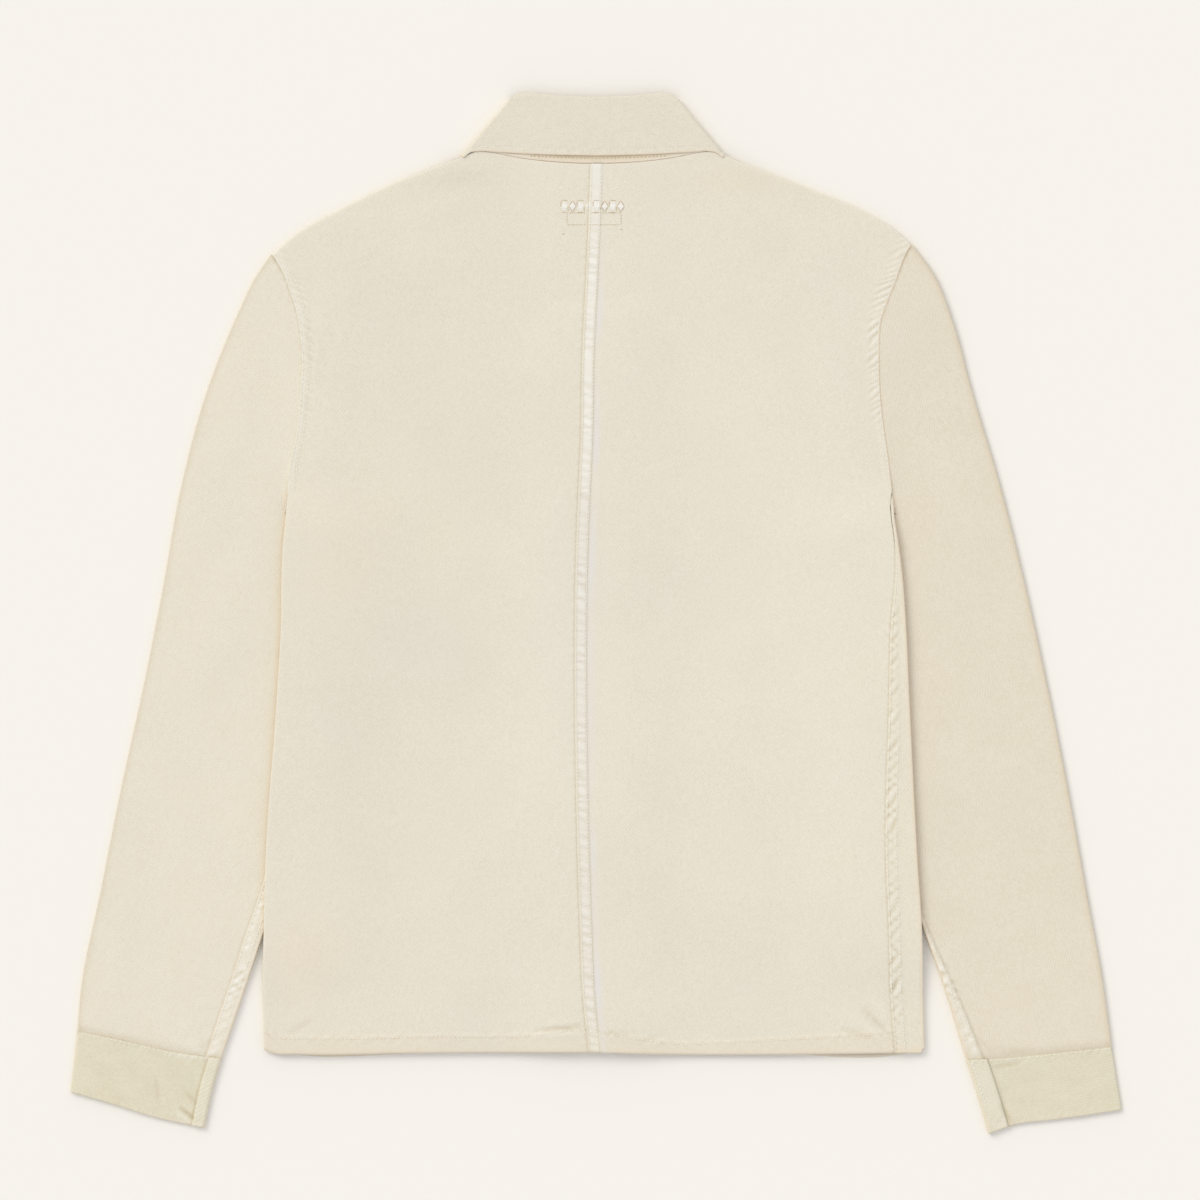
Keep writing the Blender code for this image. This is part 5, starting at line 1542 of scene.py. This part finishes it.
def collarSeams():
    rows = []
    length = reach(edgeAt, rollAt)
    row = edgeAt + (rollAt - edgeAt) * (collar["edgeStitches"] / length)[:, None]
    upper, leaf = fallWay[:, 2] > 0.99, fallWay[:, 2] < -0.99
    rows.append(sewn(fall, row[upper], sewing["collarPitch"], facing=1, seed=12))
    middle = len(row) // 2
    for part in (row[:middle][leaf[:middle]], row[middle:][leaf[middle:]]):
        rows.append(sewn(fall, part, sewing["collarPitch"], facing=-1, seed=13))
    x = np.linspace(-51.0, 56.0, 120)
    edge = np.interp(np.abs(x - cut["collarX"]), *zip(*cut["fallBack"]))
    # the stand's stitches lie in the fall's shade: their tan thread is partly painted shade
    dark = [sewn(stand, np.stack([x, edge - collar["standStitches"]], -1), 2.9, 1.7, seed=14)]
    return rows, dark


bpy.context.view_layer.update()
collarRows, standRows = collarSeams()
seams = {"bodyThreads": (bodySeams(), "thread", "twill_back"),
         "frontThreads": (frontSeams(), "thread", "twill_front"),
         "sleeveThreads": (sleeveSeams("left") + sleeveSeams("right"), "thread", "twill_sleeve"),
         "cuffThreads": (cuffSeams("left") + cuffSeams("right"), "thread", "twill_cuff"),
         "collarThreads": (collarRows, "thread", "twill_fall"),
         "standThreads": (standRows, "tanThread", "twill_stand")}
for name, (rows, finish, slot) in seams.items():
    stitchMesh(name, rows, finishes[finish])
print("the seams are sewn")


# A plain ornament in satin stitch at the back neck, and the tacks that hold what is behind it

ornament = {"box": (-22.3, 295.6, 18.8, 304.6), "row": (-27.2, 305.6, 21.6, 313.6), "shapes": 8,
            "satinPitch": 0.55, "tacks": [(-27.6, 323.7, -24.2, 323.9), (13.5, 322.4, 16.2, 324.0),
                                          (16.6, 325.4, 19.0, 326.8), (20.6, 327.0, 23.0, 328.6)],
            "dots": [(-25.2, 289.6), (18.9, 293.0)]}


def satin(piece, segments):
    # one stitch for each plan segment x, y, x, y
    a = onCloth(piece, [line[:2] for line in segments])
    b = onCloth(piece, [line[2:] for line in segments])
    return a, b, np.tile([0.0, 0.0, 1.0], (len(a), 1))


def onBothHalves(segments):
    # the centre seam runs through the ornament, so each half carries its own stitches
    parted = {"left": [], "right": []}
    seam = lines["left"]["centreBack"]
    shares = np.linspace(0, 1, 600)
    table = seam(shares)
    for line in segments:
        middleX, middleY = (line[0] + line[2]) / 2, (line[1] + line[3]) / 2
        edge = np.interp(middleY, table[:, 1], table[:, 0])
        ends = sorted([line[0] - edge, line[2] - edge])
        if ends[0] < 0.3 and ends[1] > -0.3:
            continue
        parted["left" if middleX < edge else "right"].append(line)
    return [satin(backPieces[side][0], parted[side]) for side in sides if parted[side]]


def outline(x1, y1, x2, y2, pitch, length):
    found = []
    for ax, ay, bx, by in ((x1, y1, x2, y1), (x2, y1, x2, y2), (x2, y2, x1, y2), (x1, y2, x1, y1)):
        span = math.hypot(bx - ax, by - ay)
        for i in range(max(int(span / pitch), 1)):
            t, e = i * pitch / span, min((i * pitch + length) / span, 1.0)
            found.append((ax + (bx - ax) * t, ay + (by - ay) * t, ax + (bx - ax) * e,
                          ay + (by - ay) * e))
    return found


def ornamentStitches():
    white, tan = [], outline(*ornament["box"], 2.1, 1.7)
    x1, y1, x2, y2 = ornament["row"]
    step, half = (x2 - x1) / ornament["shapes"], (y2 - y1) / 2
    for i in range(ornament["shapes"]):
        centre, wide = x1 + (i + 0.5) * step, step * 0.4
        for off in np.arange(-wide, wide + 1e-6, ornament["satinPitch"]):
            tall = half * (1 - abs(off) / wide) ** (1.0 if i % 2 else 0.45)
            if tall > 0.5:
                white.append((centre + off, y1 + half - tall, centre + off, y1 + half + tall))
        low, high = y1 + half, half * 1.12
        if i % 2:
            for dx, dy in ((-1, -1), (1, -1), (1, 1), (-1, 1)):
                tan.append((centre + dx * wide * 1.15, low, centre, low + dy * high))
        else:
            tan += outline(centre - wide * 1.1, low - high, centre + wide * 1.1, low + high,
                           wide * 2.2, wide * 2.0)
    white += ornament["tacks"]
    white += [(x - 0.9, y, x + 0.9, y) for x, y in ornament["dots"]]
    tan += [(x - 1.2, y - 0.9, x + 1.2, y - 0.9) for x, y in ornament["dots"]]
    return white, tan


white, tan = ornamentStitches()
stitchMesh("ornamentSatin", onBothHalves(white), finishes["satin"], 0.7)
stitchMesh("ornamentOutline", onBothHalves(tan), finishes["tanThread"], 0.55)
print("the ornament is embroidered")


# Six buttons of the front overlap, under the jacket, and the buttonholes they come through

button = {"count": 6, "topY": 215.0, "pitch": 93.0, "sides": 72, "holeRadius": 0.95,
          "holesAt": 1.75, "threadZ": 0.2, "holeLength": 19.0, "holeWidth": 2.6,
          "section": [(0.0, 2.6), (7.7, 2.6), (8.3, 2.4), (8.5, 2.0), (8.5, 0.8), (8.3, 0.25),
                      (7.9, 0.0), (7.0, 0.0), (6.4, 0.18), (5.9, 0.5), (0.0, 0.5)]}


def buttonMesh():
    bm = bmesh.new()
    ring = [bm.verts.new((x * mm, 0, z * mm)) for x, z in button["section"]]
    edges = [bm.edges.new(pair) for pair in zip(ring, ring[1:])]
    bmesh.ops.spin(bm, geom=ring + edges, cent=(0, 0, 0), axis=(0, 0, 1), steps=button["sides"],
                   angle=2 * math.pi)
    bmesh.ops.remove_doubles(bm, verts=bm.verts, dist=1e-6)
    bmesh.ops.recalc_face_normals(bm, faces=bm.faces)
    mesh = bpy.data.meshes.new("button")
    bm.to_mesh(mesh)
    bm.free()
    body = placed("buttonBlank", mesh)
    for i in range(4):
        angle = math.pi / 4 + i * math.pi / 2
        at = [button["holesAt"] * mm * f(angle) for f in (math.cos, math.sin)]
        bpy.ops.mesh.primitive_cylinder_add(vertices=20, radius=button["holeRadius"] * mm,
                                            depth=8 * mm, location=(*at, 1.3 * mm))
        cutter = bpy.context.object
        drill = body.modifiers.new("Hole", "BOOLEAN")
        drill.operation, drill.object, drill.solver = "DIFFERENCE", cutter, "EXACT"
        bpy.context.view_layer.update()
        ready = bpy.data.meshes.new_from_object(body.evaluated_get(
            bpy.context.evaluated_depsgraph_get()))
        body.modifiers.clear()
        body.data = ready
        bpy.data.objects.remove(cutter)
    bpy.data.objects.remove(body)
    ready.materials.clear()
    ready.materials.append(finishes["button"])
    ready.shade_smooth()
    ready.set_sharp_from_angle(angle=math.radians(38))
    return ready


def buttonsAndHoles():
    mesh, holes, threads = buttonMesh(), [], []
    outer = frontPieces["left"][0]
    for i in range(button["count"]):
        x, y = cut["centreX"], button["topY"] - i * button["pitch"]
        piece = placed(f"horn{i + 1}", mesh)
        piece.location = (x * mm, y * mm, 0)
        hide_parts(f"button_{i + 1}")
        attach(piece, "root")
        low, high = x - button["holesAt"] * 0.72, x + button["holesAt"] * 0.72
        at = [y + off + turn * button["holesAt"] * 0.72 for turn in (-1, 1)
              for off in (-0.35, 0.0, 0.35)]
        threads.append((np.array([(low, each, button["threadZ"]) for each in at]),
                        np.array([(high, each, button["threadZ"]) for each in at]),
                        np.tile([0.0, 0.0, -1.0], (len(at), 1))))
        half, wide = button["holeLength"] / 2, button["holeWidth"] / 2
        bars = [(x + off, y + turn * 0.12, x + off, y + turn * wide) for turn in (-1, 1)
                for off in np.arange(-half, half, 0.5)]
        bars += [(x + end * half, y - wide, x + end * half, y + wide) for end in (-1, 1)]
        a = onCloth(outer, [bar[:2] for bar in bars], -1)
        b = onCloth(outer, [bar[2:] for bar in bars], -1)
        holes.append((a, b, np.tile([0.0, 0.0, -1.0], (len(a), 1))))
    stitchMesh("buttonholes", holes, finishes["thread"], 0.5)
    stitchMesh("buttonThreads", threads, finishes["thread"], 0.42)


buttonsAndHoles()
print("the buttons are sewn on")


# The table, the light and the camera, which looks straight down from far away

studio = {"cameraHeight": 6.0, "frameWidth": 0.912, "frameCentre": (0.0028, 0.0108),
          "room": (0.974, 0.992, 1.029), "roomStrength": 0.79, "sun": (1.0, 0.94, 0.82),
          "sunStrength": 1.08, "sunAngle": 34.0, "sunFrom": (-1.0, 0.85, 1.2), "table": (247, 243, 236)}


def setUp():
    bpy.ops.mesh.primitive_plane_add(size=6.0, location=(0, 0, -0.0001))
    table = bpy.context.object
    table.name = "table"
    material, shader, _ = newMaterial("paleTable", 0.95)
    shader.inputs["Base Color"].default_value = srgb(*studio["table"])
    table.data.materials.append(material)
    world = bpy.data.worlds.new("room")
    world.use_nodes = True
    world.node_tree.nodes["Background"].inputs[0].default_value = (*studio["room"], 1.0)
    world.node_tree.nodes["Background"].inputs[1].default_value = studio["roomStrength"]
    bpy.context.scene.world = world
    sun = bpy.data.lights.new("windowSun", "SUN")
    sun.energy, sun.color = studio["sunStrength"], studio["sun"]
    sun.angle = math.radians(studio["sunAngle"])
    sunObject, aim = placed("windowSun", sun), placed("sunAim", None)
    sunObject.location = studio["sunFrom"]
    look = sunObject.constraints.new("TRACK_TO")
    look.target, look.track_axis, look.up_axis = aim, "TRACK_NEGATIVE_Z", "UP_Y"
    camera = bpy.data.cameras.new("overhead")
    camera.sensor_fit, camera.sensor_width = "HORIZONTAL", 36.0
    camera.lens = camera.sensor_width * studio["cameraHeight"] / studio["frameWidth"]
    cameraObject = placed("overhead", camera)
    cameraObject.location = (*studio["frameCentre"], studio["cameraHeight"])
    bpy.context.scene.camera = cameraObject
    bpy.context.scene.view_settings.view_transform = "Standard"


setUp()
print("the studio is set")
